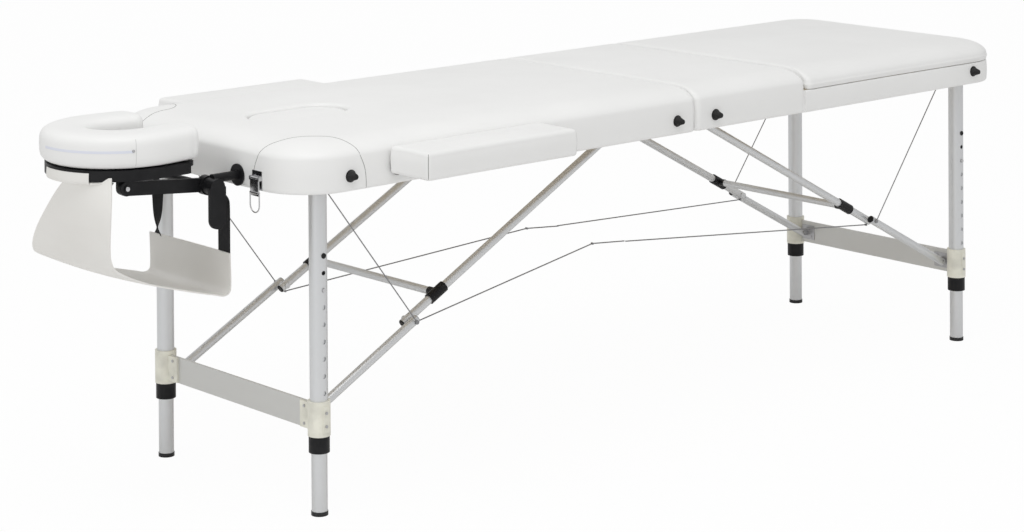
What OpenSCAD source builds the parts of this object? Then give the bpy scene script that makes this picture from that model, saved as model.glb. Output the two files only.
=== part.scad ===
// Folding three section massage table on aluminium legs, standing open.
// X runs along the table, the head end is at -X, the near side is at -Y, Z is up.
// The origin is on the floor under the middle of the whole object.

/* [Tabletop] */
// Length of one folding half, from the fold to its end
half_len = 965; // [900:1:1050]
// Width of the upholstered top
top_w = 600; // [580:1:660]
// Radius of the outer corners
corner_r = 100; // [60:1:120]
// Height of the underside above the floor
under_h = 570; // [560:1:600]
// Height of the wooden rails
rail_h = 45; // [45:0.5:60]
// Thickness of the wooden rails
rail_t = 20; // [16:0.5:24]
// Thickness of the plywood decks
deck_t = 5; // [4:0.5:8]
// Thickness of the padding above the deck
pad_h = 36; // [32:0.5:50]
// Thickness of the padded wrap on the sides
wrap_t = 6; // [5:0.5:9]
// Depth of the rounding along the upper edges of the padding
pad_edge_r = 28; // [20:1:30]
// How far this rounding runs inwards on the outer sides
pad_edge_w = 72; // [50:1:90]
// How far it runs inwards beside the fold and the backrest hinge
pad_end_w = 12; // [10:1:16]
// Rise of the crown in the middle of a pad
pad_crown = 4; // [2:0.5:8]
// How far the long sides pull in between corners
pad_draw = 2; // [0.5:0.5:3]
// Gap between the two halves at the fold
fold_gap = 2; // [1:0.5:6]
// Length of the fixed middle seat beside the fold
seat_len = 316; // [280:1:360]
// Half of the gap around the backrest hinge
back_gap = 4; // [4:0.5:8]
// Depth of the backrest hinge pin below the edge of the padding
back_pin_drop = 9; // [8:0.5:10]

/* [Face hole] */
// Distance of the face hole from the head end
hole_inset = 225; // [200:1:240]
// Length of the face hole along the table
hole_len = 204; // [180:1:216]
// Width of the face hole
hole_w = 108; // [96:1:124]
// Clearance of the plug in the face hole
plug_gap = 0.8; // [0.4:0.1:2]

/* [Legs] */
// Distance of the legs from the end of the top
leg_inset = 90; // [80:1:110]
// Distance between the two legs of a pair
leg_span = 470; // [450:1:480]
// Outer diameter of the upper leg tubes
leg_d = 32; // [30:0.5:34]
// Outer diameter of the telescoping lower tubes
inner_d = 28; // [25:0.5:28]
// Wall of all leg tubes
leg_wall = 1.5; // [1.2:0.1:1.7]
// Height of the lower end of the upper tubes
leg_end_h = 112; // [100:1:130]
// Length of the lower tubes above their spring button
button_above = 18; // [12:1:24]
// Pitch of the height holes
hole_pitch = 30; // [25:1:32]
// Number of open height holes
hole_count = 8; // [6:1:8]
// Diameter of the height holes
hole_d = 8; // [7:0.1:9]
// Height of the spring button now
button_h = 394; // [380:1:400]
// How far a spring button stands proud
button_proud = 2.5; // [2:0.1:3]
// How far the leg hinge lies above the underside
pivot_rise = 19; // [18:0.5:20]
// Height of the black collars
collar_h = 27; // [20:0.5:30]
// Wall of the black collars
collar_wall = 2.5; // [2:0.1:3.5]
// Height of the clamps
clamp_h = 61; // [50:1:66]
// Wall of the clamps
clamp_wall = 4; // [3:0.1:4.5]
// Height of the flat crossbar
crossbar_h = 48; // [40:1:54]
// Thickness of the flat crossbar
crossbar_t = 4; // [3:0.5:5]
// Height of the black foot caps
foot_h = 9; // [6:0.5:14]

/* [Braces] */
// Diameter of the brace tubes
brace_d = 16; // [14:0.5:16]
// Distance of the upper brace hinge from the fold
brace_top_u = 50; // [45:1:70]
// Distance of the lower brace hinge in front of the leg axis
brace_off = 14; // [13.5:0.1:14.5]
// Lane of the upper braces, from the middle line
upper_lane = 184; // [170:1:186]
// Lane of the lower braces, from the middle line
lower_lane = 203; // [202:0.5:204]
// Lane of the leg stays, from the middle line
stay_lane = 213.4; // [213:0.1:213.6]
// Diameter of the steel cables
cable_d = 2.4; // [1.5:0.1:3]
// Distance of the cable junction from the fold
junction_u = 88; // [60:1:120]
// Height of the cable junction
junction_h = 333; // [320:1:345]
// Distance of the cable junction from the middle line
junction_y = 97; // [80:1:120]

/* [Fittings] */
// Depth of the hinge line below the underside
fold_drop = 4; // [4:0.5:8]
// Radius of the fold knuckles
knuckle_r = 3.4; // [2.5:0.1:3.5]
// Radius of the hinge pins
pin_r = 1.5; // [1:0.1:1.8]
// Radius of the rubber bumpers
bumper_r = 11; // [8:0.5:14]
// How far the bumpers stand out
bumper_len = 17; // [12:1:24]
// Height of the bumpers above the underside
bumper_rise = 27; // [22:1:30]
// Length of the armrest pads
arm_len = 350; // [300:1:400]
// Distance of the armrest pads from the head end
arm_inset = 195; // [180:1:240]
// Width of the armrest pads
arm_w = 104; // [60:1:120]
// Thickness of the armrest pads
arm_h = 53; // [40:1:60]
// Gap between an armrest and the side of the top
arm_gap = 6; // [5:0.5:12]
// Diameter of the armrest rods
rod_d = 12; // [10:0.5:14]
// Height of the armrest rods above the underside
rod_rise = 30; // [26:0.5:30.5]

/* [Face cradle] */
// Reach of the face cushion beyond the head end
cradle_out = 300; // [294:1:312]
// Length of the face cushion
face_len = 228; // [220:1:234]
// Width of the face cushion
face_w = 272; // [262:1:284]
// Width of the padded ring
face_ring = 88; // [80:1:92]
// Thickness of the face cushion
face_h = 60; // [50:1:66]
// Diameter of the cradle posts
post_d = 16; // [14:0.5:18]
// Half the distance between the posts
post_y = 126; // [124:1:134]
// Height of the posts above the underside
post_rise = 20; // [19:0.5:22]
// Lane of the two side arms, from the middle line
arm_lane = 106; // [96:1:106]
// Distance of the arm hinge from the head end
yoke_reach = 56; // [52:1:60]
// Distance of the rivets from the arm hinge
arm_reach = 163; // [150:1:168]
// Rise of the side arms from hinge to rivet
arm_lift = 15; // [10:1:20]
// Height of the platform above the rivets
plate_lift = 25; // [25:1:40]
// Width of the arm sling
sling_w = 248; // [200:1:256]
// Thickness of the arm sling
sling_t = 2.4; // [1.6:0.1:3]
// Depth of the sling below the platform
sling_drop = 210; // [180:1:230]

/* [Hidden] */

$fn = 48;
// Overrun of the cuts
cut = 1;
// Running clearance of pins and rods
fit = 0.3;
// Thin plate that brackets are bent from
plate_t = 2;
ear_gap = 1;
pivot_pin_r = 4;
brace_pin_r = 3;
stay_pin_r = 1.6;
// Colours
white = [0.93, 0.93, 0.92];
alu = [0.76, 0.77, 0.78];
steel = [0.6, 0.61, 0.62];
black = [0.05, 0.05, 0.055];
beige = [0.82, 0.81, 0.74];
wood = [0.75, 0.6, 0.42];

fold_x = cradle_out / 2;
under = under_h;
deck_z = under + rail_h;
pad_z = deck_z + deck_t;
top_z = pad_z + pad_h;
leg_u = half_len - leg_inset;
pivot_z = under + pivot_rise;
leg_r = leg_d / 2;
inner_r = inner_d / 2;
inner_len = button_h + button_above;
clamp_r = leg_r + clamp_wall;
clamp_z = leg_end_h + collar_h;
// How far the crossbar's face lies in front of the leg axis
crossbar_back = 1;
brace_r = brace_d / 2;
lug_z = clamp_z + clamp_h / 2;
lug_drop = pivot_z - lug_z;
brace_z = pivot_z + brace_off;
line_run = leg_u - brace_off - brace_top_u;
line_drop = brace_off + lug_drop;
line_len = norm([line_run, line_drop]);
line_diff = leg_u - brace_top_u - lug_drop;
upper_len = (line_len + line_diff) / 2;
lower_len = (line_len - line_diff) / 2;
brace_angle = atan2(line_drop, line_run);
knee_u = brace_top_u + upper_len * cos(brace_angle);
knee_z = brace_z - upper_len * sin(brace_angle);
back_u = seat_len + back_gap;
back_pin_z = top_z - back_pin_drop;
bumper_z = under + bumper_rise;
hole_u = half_len - hole_inset;
cable_r = cable_d / 2;
rail_in = top_w / 2 - wrap_t - fit - rail_t;
echo(brace_angle = brace_angle, knee_u = knee_u, knee_z = knee_z, fold_x = fold_x);

// Place a shape drawn for the foot half, mirrored for the head half
module at_half(side) {
    if (side > 0) translate([fold_x, 0, 0]) children();
    else translate([fold_x, 0, 0]) mirror([1, 0, 0]) children();
}
// The same shape on the near and the far side
module both_sides() {
    children();
    mirror([0, 1, 0]) children();
}
// A round rod from one point to another
module rod(p, q, r) {
    d = q - p;
    translate(p) rotate([0, atan2(norm([d.x, d.y]), d.z), atan2(d.y, d.x)])
        cylinder(h = norm(d), r = r);
}
// A rod along Y with its middle at a point
module rod_y(p, r, len) {
    translate(p) rotate([90, 0, 0]) cylinder(h = len, r = r, center = true);
}
// A box from its lowest to its highest corner
module span(a, b) {
    translate(a) cube(b - a);
}
// A tube along Z
module tube(r_out, r_in, len) {
    difference() {
        cylinder(h = len, r = r_out);
        translate([0, 0, -cut]) cylinder(h = len + 2 * cut, r = r_in);
    }
}

// Plan outline of one half, drawn in by an inset
module half_plan(inset, u_end = half_len) {
    r = max(corner_r - inset, cut);
    u0 = fold_gap / 2 + inset;
    u1 = u_end - inset;
    w = top_w / 2 - inset;
    translate([u0, -w]) square([u1 - r - u0, 2 * w]);
    translate([u1 - r - cut, r - w]) square([r + cut, 2 * (w - r)]);
    for (s = [-1, 1]) translate([u1 - r, s * (w - r)]) circle(r = r);
}
// Plan outline of the face hole
module oval(len, w) {
    square([len - w, w], center = true);
    for (s = [-1, 1]) translate([s * (len - w) / 2, 0]) circle(r = w / 2);
}

// One ring of a pad: a rounded rectangle from u0 to u1, its corners turned by radii ra and rb,
// with the straight edges pulled in
plug_round_share = 0.98;
corner_n = 6;
edge_n = 6;
function corner(c, r, a0) = [for (i = [0:corner_n]) let (a = a0 + 90 * i / corner_n) c + r * [cos(a), sin(a)]];
function edge(p, q, draw, nrm) = [for (i = [1:edge_n - 1])
    p + (q - p) * i / edge_n - nrm * draw * sin(180 * i / edge_n)];
function ring(u0, u1, w, ra, rb, draw) = let (
    c1 = corner([u1 - rb, rb - w], rb, -90), c2 = corner([u1 - rb, w - rb], rb, 0),
    c3 = corner([u0 + ra, w - ra], ra, 90), c4 = corner([u0 + ra, ra - w], ra, 180))
    concat(c1, edge(c1[corner_n], c2[0], draw, [1, 0]), c2, edge(c2[corner_n], c3[0], draw, [0, 1]),
        c3, edge(c3[corner_n], c4[0], draw, [-1, 0]), c4, edge(c4[corner_n], c1[0], draw, [0, -1]));
function least(r, d) = max(r - d, pad_edge_r / 8);
// Rings of a pad from its bottom to the crown: [share of the rounding, height, pull, share of the top]
function pad_steps(z0, z1, e) = concat(
    [[0, z0, 1, 0], [0, (z0 + z1 - e) / 2, 1, 0]],
    [for (a = [0:22.5:90]) [1 - cos(a), z1 - e + e * sin(a), cos(a), 0]],
    [for (t = [0.25, 0.5, 0.75]) [1, z1 + pad_crown * (1 - pow(1 - t, 2)), 0, t]]);
// A crowned pad: its rounding is e deep and reaches inwards by three amounts, at u0, at u1 and at the sides
module pad(u0, u1, w, ra, rb, z0, z1, e, reach) {
    room = min(w - reach[2], (u1 - u0 - reach[0] - reach[1]) / 2) - pad_edge_r / 4;
    steps = pad_steps(z0, z1, e);
    n = 4 * (corner_n + edge_n);
    m = len(steps);
    rings = [for (s = steps) let (d = s[0] * reach + [room, room, room] * s[3])
        [for (p = ring(u0 + d[0], u1 - d[1], w - d[2], least(ra, d[0]), least(rb, d[1]), pad_draw * s[2]))
            [p.x, p.y, s[1]]]];
    mid = [(u0 + u1) / 2, 0];
    pts = concat([for (r = rings) for (p = r) p], [[mid.x, mid.y, z0], [mid.x, mid.y, z1 + pad_crown]]);
    faces = concat(
        [for (k = [0:n:n * (m - 2)]) for (i = [0:n - 1]) let (j = (i + 1) % n) [k + i, k + n + i, k + n + j]],
        [for (k = [0:n:n * (m - 2)]) for (i = [0:n - 1]) let (j = (i + 1) % n) [k + i, k + n + j, k + j]],
        [for (i = [0:n - 1]) [m * n, i, (i + 1) % n]],
        [for (i = [0:n - 1]) [m * n + 1, (m - 1) * n + (i + 1) % n, (m - 1) * n + i]]);
    polyhedron(points = pts, faces = faces, convexity = 4);
}

// Wooden frame of one half, cut where the rods and posts pass
module half_frame() {
    translate([0, 0, under]) linear_extrude(height = rail_h) difference() {
        half_plan(wrap_t + fit);
        half_plan(wrap_t + fit + rail_t);
    }
}
arm_z = under + rod_rise;
arm_start = half_len - arm_inset - arm_len;
arm_rods_share = [0.06, 0.94];
socket_wall = 2;
post_z = under + post_rise;
post_r = post_d / 2;
post_in = leg_inset + post_d;
// Bores for the sockets of the armrest rods and of the cradle posts
module socket_bores(gap) {
    for (s = arm_rods_share)
        rod_y([arm_start + arm_len * s, 0, arm_z], rod_d / 2 + socket_wall + gap, top_w + cut);
    for (y = [-post_y, post_y])
        rod([half_len - post_in, y, post_z], [half_len + cut, y, post_z], post_r + socket_wall + gap);
}
bumper_share = [0.055, 0.884];
// Seats of the bumpers in the padded wrap
module bumper_seats() {
    for (s = bumper_share) translate([half_len * s, -rail_in - rail_t, bumper_z]) rotate([90, 0, 0])
        cylinder(h = wrap_t + cut, r = bumper_r + fit);
}
module head_frame() {
    color(wood) at_half(-1) difference() {
        half_frame();
        socket_bores(fit);
    }
}
module head_deck() {
    color(wood) at_half(-1) translate([0, 0, deck_z]) linear_extrude(height = deck_t) difference() {
        half_plan(wrap_t + fit);
        translate([hole_u, 0]) oval(hole_len, hole_w);
    }
}
module head_cushion() {
    color(white) at_half(-1) difference() {
        pad(fold_gap / 2, half_len, top_w / 2, pad_edge_r / 2, corner_r, under, top_z, pad_edge_r,
            [pad_end_w, pad_edge_w, pad_edge_w]);
        translate([0, 0, under - cut]) linear_extrude(height = rail_h + deck_t + cut) half_plan(wrap_t);
        translate([hole_u, 0, under]) linear_extrude(height = top_z) oval(hole_len, hole_w);
        socket_bores(fit);
        bumper_seats();
    }
}
module face_plug() {
    w = hole_w / 2 - plug_gap;
    r = w * plug_round_share;
    u = hole_len / 2 - plug_gap;
    e = pad_edge_r / 3;
    color(white) at_half(-1)
        pad(hole_u - u, hole_u + u, w, r, r, deck_z, top_z - pad_crown / 2, e, [e, e, e]);
}

// Bent brackets under the decks: leg hinges, brace hinges and the leaves of the fold hinge
module leg_bracket() {
    y0 = leg_span / 2;
    e = leg_r + ear_gap;
    r = pivot_pin_r * 2.5;
    for (s = [-1, 1]) {
        rod_y([leg_u, y0 + s * (e + plate_t / 2), pivot_z], r, plate_t);
        span([leg_u - r, y0 + s * (e + plate_t / 2) - plate_t / 2, pivot_z],
            [leg_u + r, y0 + s * (e + plate_t / 2) + plate_t / 2, deck_z - plate_t / 2]);
    }
    span([leg_u - 2 * r, y0 - e - plate_t, deck_z - plate_t], [leg_u + 2 * r, y0 + e + plate_t, deck_z]);
    rod_y([leg_u, y0, pivot_z], pivot_pin_r, 2 * (e + plate_t) + plate_t / 2);
    // Small pin that carries the eye of the stay
    translate([leg_u, y0 - e, brace_z]) rotate([90, 0, 0])
        cylinder(h = y0 - e - stay_lane + cable_r + fit, r = stay_pin_r);
}
module brace_bracket() {
    r = brace_pin_r * 2;
    e = brace_r + ear_gap;
    for (s = [-1, 1]) {
        rod_y([brace_top_u, upper_lane + s * (e + plate_t / 2), brace_z], r, plate_t);
        span([brace_top_u - r, upper_lane + s * (e + plate_t / 2) - plate_t / 2, brace_z],
            [brace_top_u + r, upper_lane + s * (e + plate_t / 2) + plate_t / 2, deck_z]);
    }
    span([brace_top_u - r * 2, upper_lane - e - plate_t, deck_z - plate_t / 2],
        [brace_top_u + r * 2, upper_lane + e + plate_t, deck_z]);
    rod_y([brace_top_u, upper_lane, brace_z], brace_pin_r, 2 * (e + 2 * plate_t));
}
// Fold hinges: two places across the table, five knuckles each
hinge_y_share = 0.33;
hinge_len = 110;
knuckles = 5;
leaf_u = rail_t + wrap_t + plate_t;
leaf_t = 1.6;
module fold_knuckles(first) {
    z = under - fold_drop;
    k = hinge_len / knuckles;
    y = hinge_len / 2;
    for (i = [first:2:knuckles - 1]) let (a = i * k - y + fit / 2, b = a + k - fit) difference() {
        union() {
            rod_y([0, (i + 0.5) * k - y, z], knuckle_r, k - fit);
            span([0, a, z - leaf_t / 2], [leaf_t + knuckle_r, b, z + leaf_t / 2]);
            span([knuckle_r, a, z - leaf_t / 2], [knuckle_r + leaf_t, b, under]);
        }
        rod_y([0, 0, z], pin_r + fit / 6, hinge_len + cut);
    }
    span([knuckle_r, -y, under - leaf_t], [leaf_u, y, under]);
}
module half_brackets(first) {
    both_sides() {
        leg_bracket();
        brace_bracket();
    }
    for (s = [-1, 1]) translate([0, s * top_w * hinge_y_share, 0]) fold_knuckles(first);
}
module head_brackets() {
    color(steel) at_half(-1) half_brackets(0);
}
module fold_pin() {
    color(steel) for (s = [-1, 1])
        rod_y([fold_x, s * top_w * hinge_y_share, under - fold_drop], pin_r, hinge_len);
}

// Black rubber bumpers that the folded case stands on
bumper_nose_share = [0.88, 0.42];
module bumpers() {
    base = wrap_t + plate_t;
    for (s = bumper_share) translate([half_len * s, -rail_in - rail_t, bumper_z]) rotate([90, 0, 0]) {
        cylinder(h = base, r = bumper_r);
        translate([0, 0, base]) cylinder(h = bumper_len - plate_t,
            r1 = bumper_r * bumper_nose_share[0], r2 = bumper_r * bumper_nose_share[1]);
    }
}
module head_bumpers() { color(black) at_half(-1) bumpers(); }
module foot_bumpers() { color(black) at_half(1) bumpers(); }

// Toggle latch on the head end
latch_w = 28;
latch_y = corner_r + plate_t + latch_w / 2 - top_w / 2;
latch_h = 33;
latch_z = under + plate_t;
latch_pin_z = latch_z + latch_h * 0.62;
latch_stand = 3.5;
lever_t = 3;
lever_reach = 30;
bail_drop = 25;
bail_len = 34;
bail_r = 1.2;
latch_u = half_len + plate_t;
lever_u = latch_u + latch_stand;
lever_half = latch_w / 2 - plate_t - fit;
module latch_base() {
    span([half_len + fit, latch_y - latch_w / 2, latch_z], [latch_u, latch_y + latch_w / 2, latch_z + latch_h]);
}
module latch_plate() {
    y = latch_w / 2 - plate_t / 2;
    color(steel) at_half(-1) {
        latch_base();
        for (s = [-1, 1]) difference() {
            span([latch_u - plate_t / 2, latch_y + s * y - plate_t / 2, latch_pin_z - latch_stand],
                [lever_u + latch_stand, latch_y + s * y + plate_t / 2, latch_pin_z + latch_stand]);
            rod_y([lever_u, latch_y, latch_pin_z], pin_r + fit / 6, latch_w + cut);
        }
    }
}
module latch_lever() {
    color(steel) at_half(-1) {
        rod_y([lever_u, latch_y, latch_pin_z], pin_r, latch_w);
        difference() {
            union() {
                rod_y([lever_u, latch_y, latch_pin_z], latch_stand - fit, 2 * lever_half);
                span([lever_u, latch_y - lever_half, latch_pin_z - lever_reach],
                    [lever_u + lever_t, latch_y + lever_half, latch_pin_z]);
                rod_y([lever_u + lever_t / 2, latch_y, latch_pin_z - bail_drop], bail_r * 2.4, 2 * lever_half);
            }
            rod_y([lever_u + lever_t / 2, latch_y, latch_pin_z - bail_drop], bail_r + fit / 3, latch_w);
        }
    }
}
module latch_bail() {
    y = lever_half + bail_r + fit;
    top = [lever_u + lever_t / 2, latch_y, latch_pin_z - bail_drop];
    color(steel) at_half(-1) {
        rod_y(top, bail_r * 0.85, 2 * y);
        for (s = [-1, 1]) rod(top + [0, s * y, bail_r], top + [0, s * y, y - bail_len], bail_r);
        translate(top + [0, 0, y - bail_len]) rotate([90, 0, 90]) rotate([0, 0, 180])
            rotate_extrude(angle = 180) translate([y, 0]) circle(r = bail_r, $fn = 16);
    }
}
module latch_strike() {
    color(steel) at_half(1) {
        latch_base();
        span([latch_u, latch_y - latch_w / 4, latch_pin_z - plate_t],
            [latch_u + plate_t, latch_y + latch_w / 4, latch_pin_z]);
        span([latch_u + plate_t / 2, latch_y - latch_w / 4, latch_pin_z - plate_t],
            [latch_u + plate_t, latch_y + latch_w / 4, latch_pin_z + plate_t]);
    }
}

// Black sockets that guide the armrest rods and the cradle posts
rod_in = 42;
flange_share = 2.4;
flange_t = 3.2;
module socket(r) {
    difference() {
        union() {
            translate([0, 0, fit]) cylinder(h = flange_t, r = r * flange_share);
            translate([0, 0, -wrap_t - rail_t]) cylinder(h = wrap_t + rail_t + flange_t, r = r + socket_wall);
        }
        translate([0, 0, -wrap_t - rail_t - cut])
            cylinder(h = wrap_t + rail_t + flange_t + 2 * cut + fit, r = r + fit / 4);
    }
}
module rod_sockets() {
    color(black) at_half(-1) {
        for (s = arm_rods_share) both_sides()
            translate([arm_start + arm_len * s, -top_w / 2, arm_z]) rotate([90, 0, 0]) socket(rod_d / 2);
        for (s = [-1, 1]) translate([half_len, s * post_y, post_z]) rotate([0, 90, 0]) socket(post_r);
    }
}
arm_pad_y = top_w / 2 + arm_gap;
arm_pad_z = arm_z - rod_d * 0.75;
module arm_rods(s) {
    for (t = arm_rods_share) rod([arm_start + arm_len * t, s * (arm_pad_y + arm_w / 2), arm_z],
        [arm_start + arm_len * t, s * (top_w / 2 - rod_in), arm_z], rod_d / 2);
}
module arm_pad(s) {
    e = arm_h / 5;
    difference() {
        translate([arm_start, s * (arm_pad_y + arm_w / 2), 0])
            pad(0, arm_len, arm_w / 2, e, e, arm_pad_z, arm_pad_z + arm_h - pad_crown, e, [e, e, e]);
        arm_rods(s);
    }
}
module armrest_near() { color(white) at_half(-1) arm_pad(-1); }
module armrest_far() { color(white) at_half(-1) arm_pad(1); }
module arm_rods_near() { color(steel) at_half(-1) arm_rods(-1); }
module arm_rods_far() { color(steel) at_half(-1) arm_rods(1); }

// Face cradle, drawn beyond the head end
yoke_u = half_len + yoke_reach;
yoke_drop = 13;
yoke_z = post_z - yoke_drop;
yoke_r = 6;
block_r = 15;
block_w = 17;
hub_r = 17;
arm_bar_t = 8;
arm_bar_h = 24;
hub_w = post_y - block_w / 2 - arm_lane + arm_bar_t / 2 - fit;
rivet_u = yoke_u + arm_reach;
rivet_z = yoke_z + arm_lift;
arm_tilt = atan2(arm_lift, arm_reach);
module cradle_posts() {
    color(black) at_half(-1) {
        for (s = [-1, 1]) difference() {
            union() {
                rod([half_len - post_in + post_d, s * post_y, post_z], [yoke_u, s * post_y, post_z], post_r);
                rod_y([yoke_u, s * post_y, yoke_z], block_r, block_w);
            }
            if (s < 0) rod_y([yoke_u, -post_y - block_w / 2, yoke_z], brace_pin_r + fit / 6, block_w);
        }
        rod_y([yoke_u, 0, yoke_z], yoke_r, 2 * post_y - block_w + cut);
    }
}
// Two side arms with a cross tie
module cradle_arms() {
    y = arm_lane - arm_bar_t / 2;
    color(black) at_half(-1) {
        both_sides() difference() {
            union() {
                rod_y([yoke_u, y + hub_w / 2, yoke_z], hub_r, hub_w);
                rod_y([rivet_u, arm_lane, rivet_z], arm_bar_h / 2 + 2 * fit, arm_bar_t);
                translate([yoke_u, y, yoke_z]) rotate([0, -arm_tilt, 0]) translate([0, 0, -arm_bar_h / 2])
                    cube([norm([arm_reach, arm_lift]), arm_bar_t, arm_bar_h]);
            }
            rod_y([yoke_u, arm_lane, yoke_z], yoke_r + fit / 4, 4 * hub_w);
            rod_y([rivet_u, arm_lane, rivet_z], brace_pin_r + fit / 6, 2 * arm_bar_t);
        }
        rod_y([(yoke_u + rivet_u) / 2, 0, (yoke_z + rivet_z) / 2], yoke_r, 2 * arm_lane);
    }
}
lever_hang = 55;
lever_w = 34;
cam_t = 9.6;
module cradle_lever() {
    y = post_y + block_w / 2 + fit;
    color(black) at_half(-1) mirror([0, 1, 0]) {
        translate([yoke_u, y, yoke_z]) rotate([-90, 0, 0]) cylinder(h = cam_t, r = block_r);
        translate([yoke_u, y - block_w / 2 + fit, yoke_z]) rotate([-90, 0, 0])
            cylinder(h = block_w / 2, r = brace_pin_r);
        span([yoke_u - lever_w / 2, y + arm_bar_t / 2, yoke_z - lever_hang],
            [yoke_u + lever_w / 2, y + cam_t, yoke_z]);
        translate([yoke_u, y + arm_bar_t / 2, yoke_z - lever_hang]) rotate([-90, 0, 0])
            cylinder(h = cam_t - arm_bar_t / 2, r = lever_w / 2);
    }
}
face_front = half_len + cradle_out;
face_r = face_w / 2;
face_mid = face_front - face_r;
face_back = face_front - face_len;
face_path_r = face_r - face_ring / 2;
leg_end_y = face_path_r - face_ring * 0.08;
// Horseshoe plan of the platform, open to the table
module face_plan(inset) {
    r = face_ring / 3;
    difference() {
        union() {
            translate([face_mid, 0]) circle(r = face_r - inset);
            translate([face_back + inset + r, inset - face_r])
                square([face_mid - face_back - inset - r, 2 * (face_r - inset)]);
            translate([face_back + inset, inset + r - face_r]) square([2 * r, 2 * (face_r - inset - r)]);
            for (s = [-1, 1]) translate([face_back + inset + r, s * (face_r - inset - r)]) circle(r = r);
        }
        translate([face_mid, 0]) circle(r = face_path_r - face_ring / 2 + inset);
        translate([face_back - face_ring, -leg_end_y + face_ring / 2 - inset])
            square([face_mid - face_back + face_ring, 2 * (leg_end_y - face_ring / 2 + inset)]);
    }
}
plate_inset = 9;
plate_h = 7;
plate_rim_t = 3;
plate_rim_h = 19;
plate_z = rivet_z + plate_lift;
rim_back = yoke_u + hub_r * 2;
module cradle_plate() {
    y = arm_lane - arm_bar_t / 2 - fit;
    top = plate_z + plate_h;
    color(black) at_half(-1) {
        translate([0, 0, plate_z]) linear_extrude(height = plate_h) face_plan(plate_inset);
        translate([0, 0, top - plate_rim_h]) linear_extrude(height = plate_rim_h) difference() {
            face_plan(plate_inset);
            translate([face_mid, 0]) circle(r = face_r - plate_inset - plate_rim_t);
            translate([0, plate_inset + plate_rim_t - face_r])
                square([face_mid, 2 * (face_r - plate_inset - plate_rim_t)]);
            translate([0, -face_w]) square([rim_back, 2 * face_w]);
        }
        both_sides() {
            span([rivet_u - arm_bar_h / 2, y - arm_bar_t, rivet_z],
                [rivet_u + arm_bar_h / 2, y, plate_z + cut]);
            rod_y([rivet_u, y - arm_bar_t / 2, rivet_z], arm_bar_h / 2, arm_bar_t);
            rod_y([rivet_u, y + arm_bar_t / 2, rivet_z], brace_pin_r, 2 * arm_bar_t);
            rod_y([rivet_u, arm_lane + arm_bar_t / 2 + fit + plate_t / 2, rivet_z], brace_pin_r * 2, plate_t);
        }
    }
}
// Face cushion: a rounded section carried along a horseshoe
face_z = plate_z + plate_h + fit;
face_end = face_ring / 3;
face_sides = 20;
face_square_share = 0.62;
face_thin_share = 0.7;
face_end_shares = [0, 0.12, 0.35, 0.7, 1];
face_turn = 11.25;
function power(x, e) = sign(x) * pow(abs(x), e);
function section(w, h) = [for (i = [0:face_sides - 1]) let (a = 360 * i / face_sides)
    [w * power(cos(a), face_square_share), h * power(sin(a), face_square_share)]];
// Stations of the path: [middle u, middle y, turn of the section, size]
face_last = len(face_end_shares) - 1;
function face_leg(s) = [for (i = [0:face_last]) let (k = face_end_shares[s > 0 ? i : face_last - i])
    [face_back + k * face_end, s * leg_end_y, 90 * s, max(sqrt(1 - pow(1 - k, 2)), 0.2)]];
face_stations = concat(face_leg(1), [for (a = [90:-face_turn:-90])
    [face_mid + face_path_r * cos(a), face_path_r * sin(a), a, 1]], face_leg(-1));
module face_cushion() {
    m = len(face_stations);
    n = face_sides;
    mid = face_z + face_h / 2;
    pts = concat([for (s = face_stations) for (q = section(face_ring / 2 * s[3],
        face_h / 2 * (face_thin_share + (1 - face_thin_share) * s[3])))
        [s[0] + q.x * cos(s[2]), s[1] + q.x * sin(s[2]), mid + q.y]],
        [for (s = [face_stations[0], face_stations[m - 1]]) [s[0], s[1], mid]]);
    faces = concat(
        [for (k = [0:n:n * (m - 2)]) for (i = [0:n - 1]) let (j = (i + 1) % n) [k + i, k + j, k + n + j]],
        [for (k = [0:n:n * (m - 2)]) for (i = [0:n - 1]) let (j = (i + 1) % n) [k + i, k + n + j, k + n + i]],
        [for (i = [0:n - 1]) [m * n, (i + 1) % n, i]],
        [for (i = [0:n - 1]) [m * n + 1, (m - 1) * n + i, (m - 1) * n + (i + 1) % n]]);
    color(white) at_half(-1) polyhedron(points = pts, faces = faces, convexity = 6);
}
// Arm sling: a band that hangs at the front, runs back and turns up to its lip
strap_w = 34;
strap_t = 1.6;
strap_u = yoke_u - 2.5 * hub_r;
strap_bend_z = yoke_z - 32;
strap_y = arm_lane - arm_bar_t / 2 + hub_w / 2 - strap_w / 5;
sling_top_z = plate_z + plate_h - plate_rim_h - 12;
sling_floor_z = sling_top_z - sling_drop;
sling_back_u = strap_u + strap_t + fit;
lip_h = 74;
sling_front_u = face_front - plate_inset - 9 * plate_rim_t;
sling_lie_share = [[0, 1], [0, 0.74], [-0.005, 0.56], [-0.015, 0.47], [-0.05, 0.41], [-0.31, 0.22],
    [-0.66, 0.07], [-0.86, 0.01], [-0.96, 0], [-0.985, 0.04], [-1, 0.1]];
function sling_point(q) = [sling_front_u, sling_floor_z]
    + [q.x * (sling_front_u - sling_back_u), q.y * sling_drop];
sling_path = concat([for (q = sling_lie_share) sling_point(q)], [[sling_back_u, sling_floor_z + lip_h]]);
function unit(v) = v / norm(v);
function sling_inner(p, i) = let (d = unit(p[min(i + 1, len(p) - 1)] - p[max(i - 1, 0)]))
    p[i] + sling_t * [d.y, -d.x];
module arm_sling() {
    p = sling_path;
    color(white) at_half(-1) translate([0, sling_w / 2, 0]) rotate([90, 0, 0]) linear_extrude(height = sling_w)
        polygon(concat(p, [for (i = [len(p) - 1:-1:0]) sling_inner(p, i)]));
}
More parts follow.
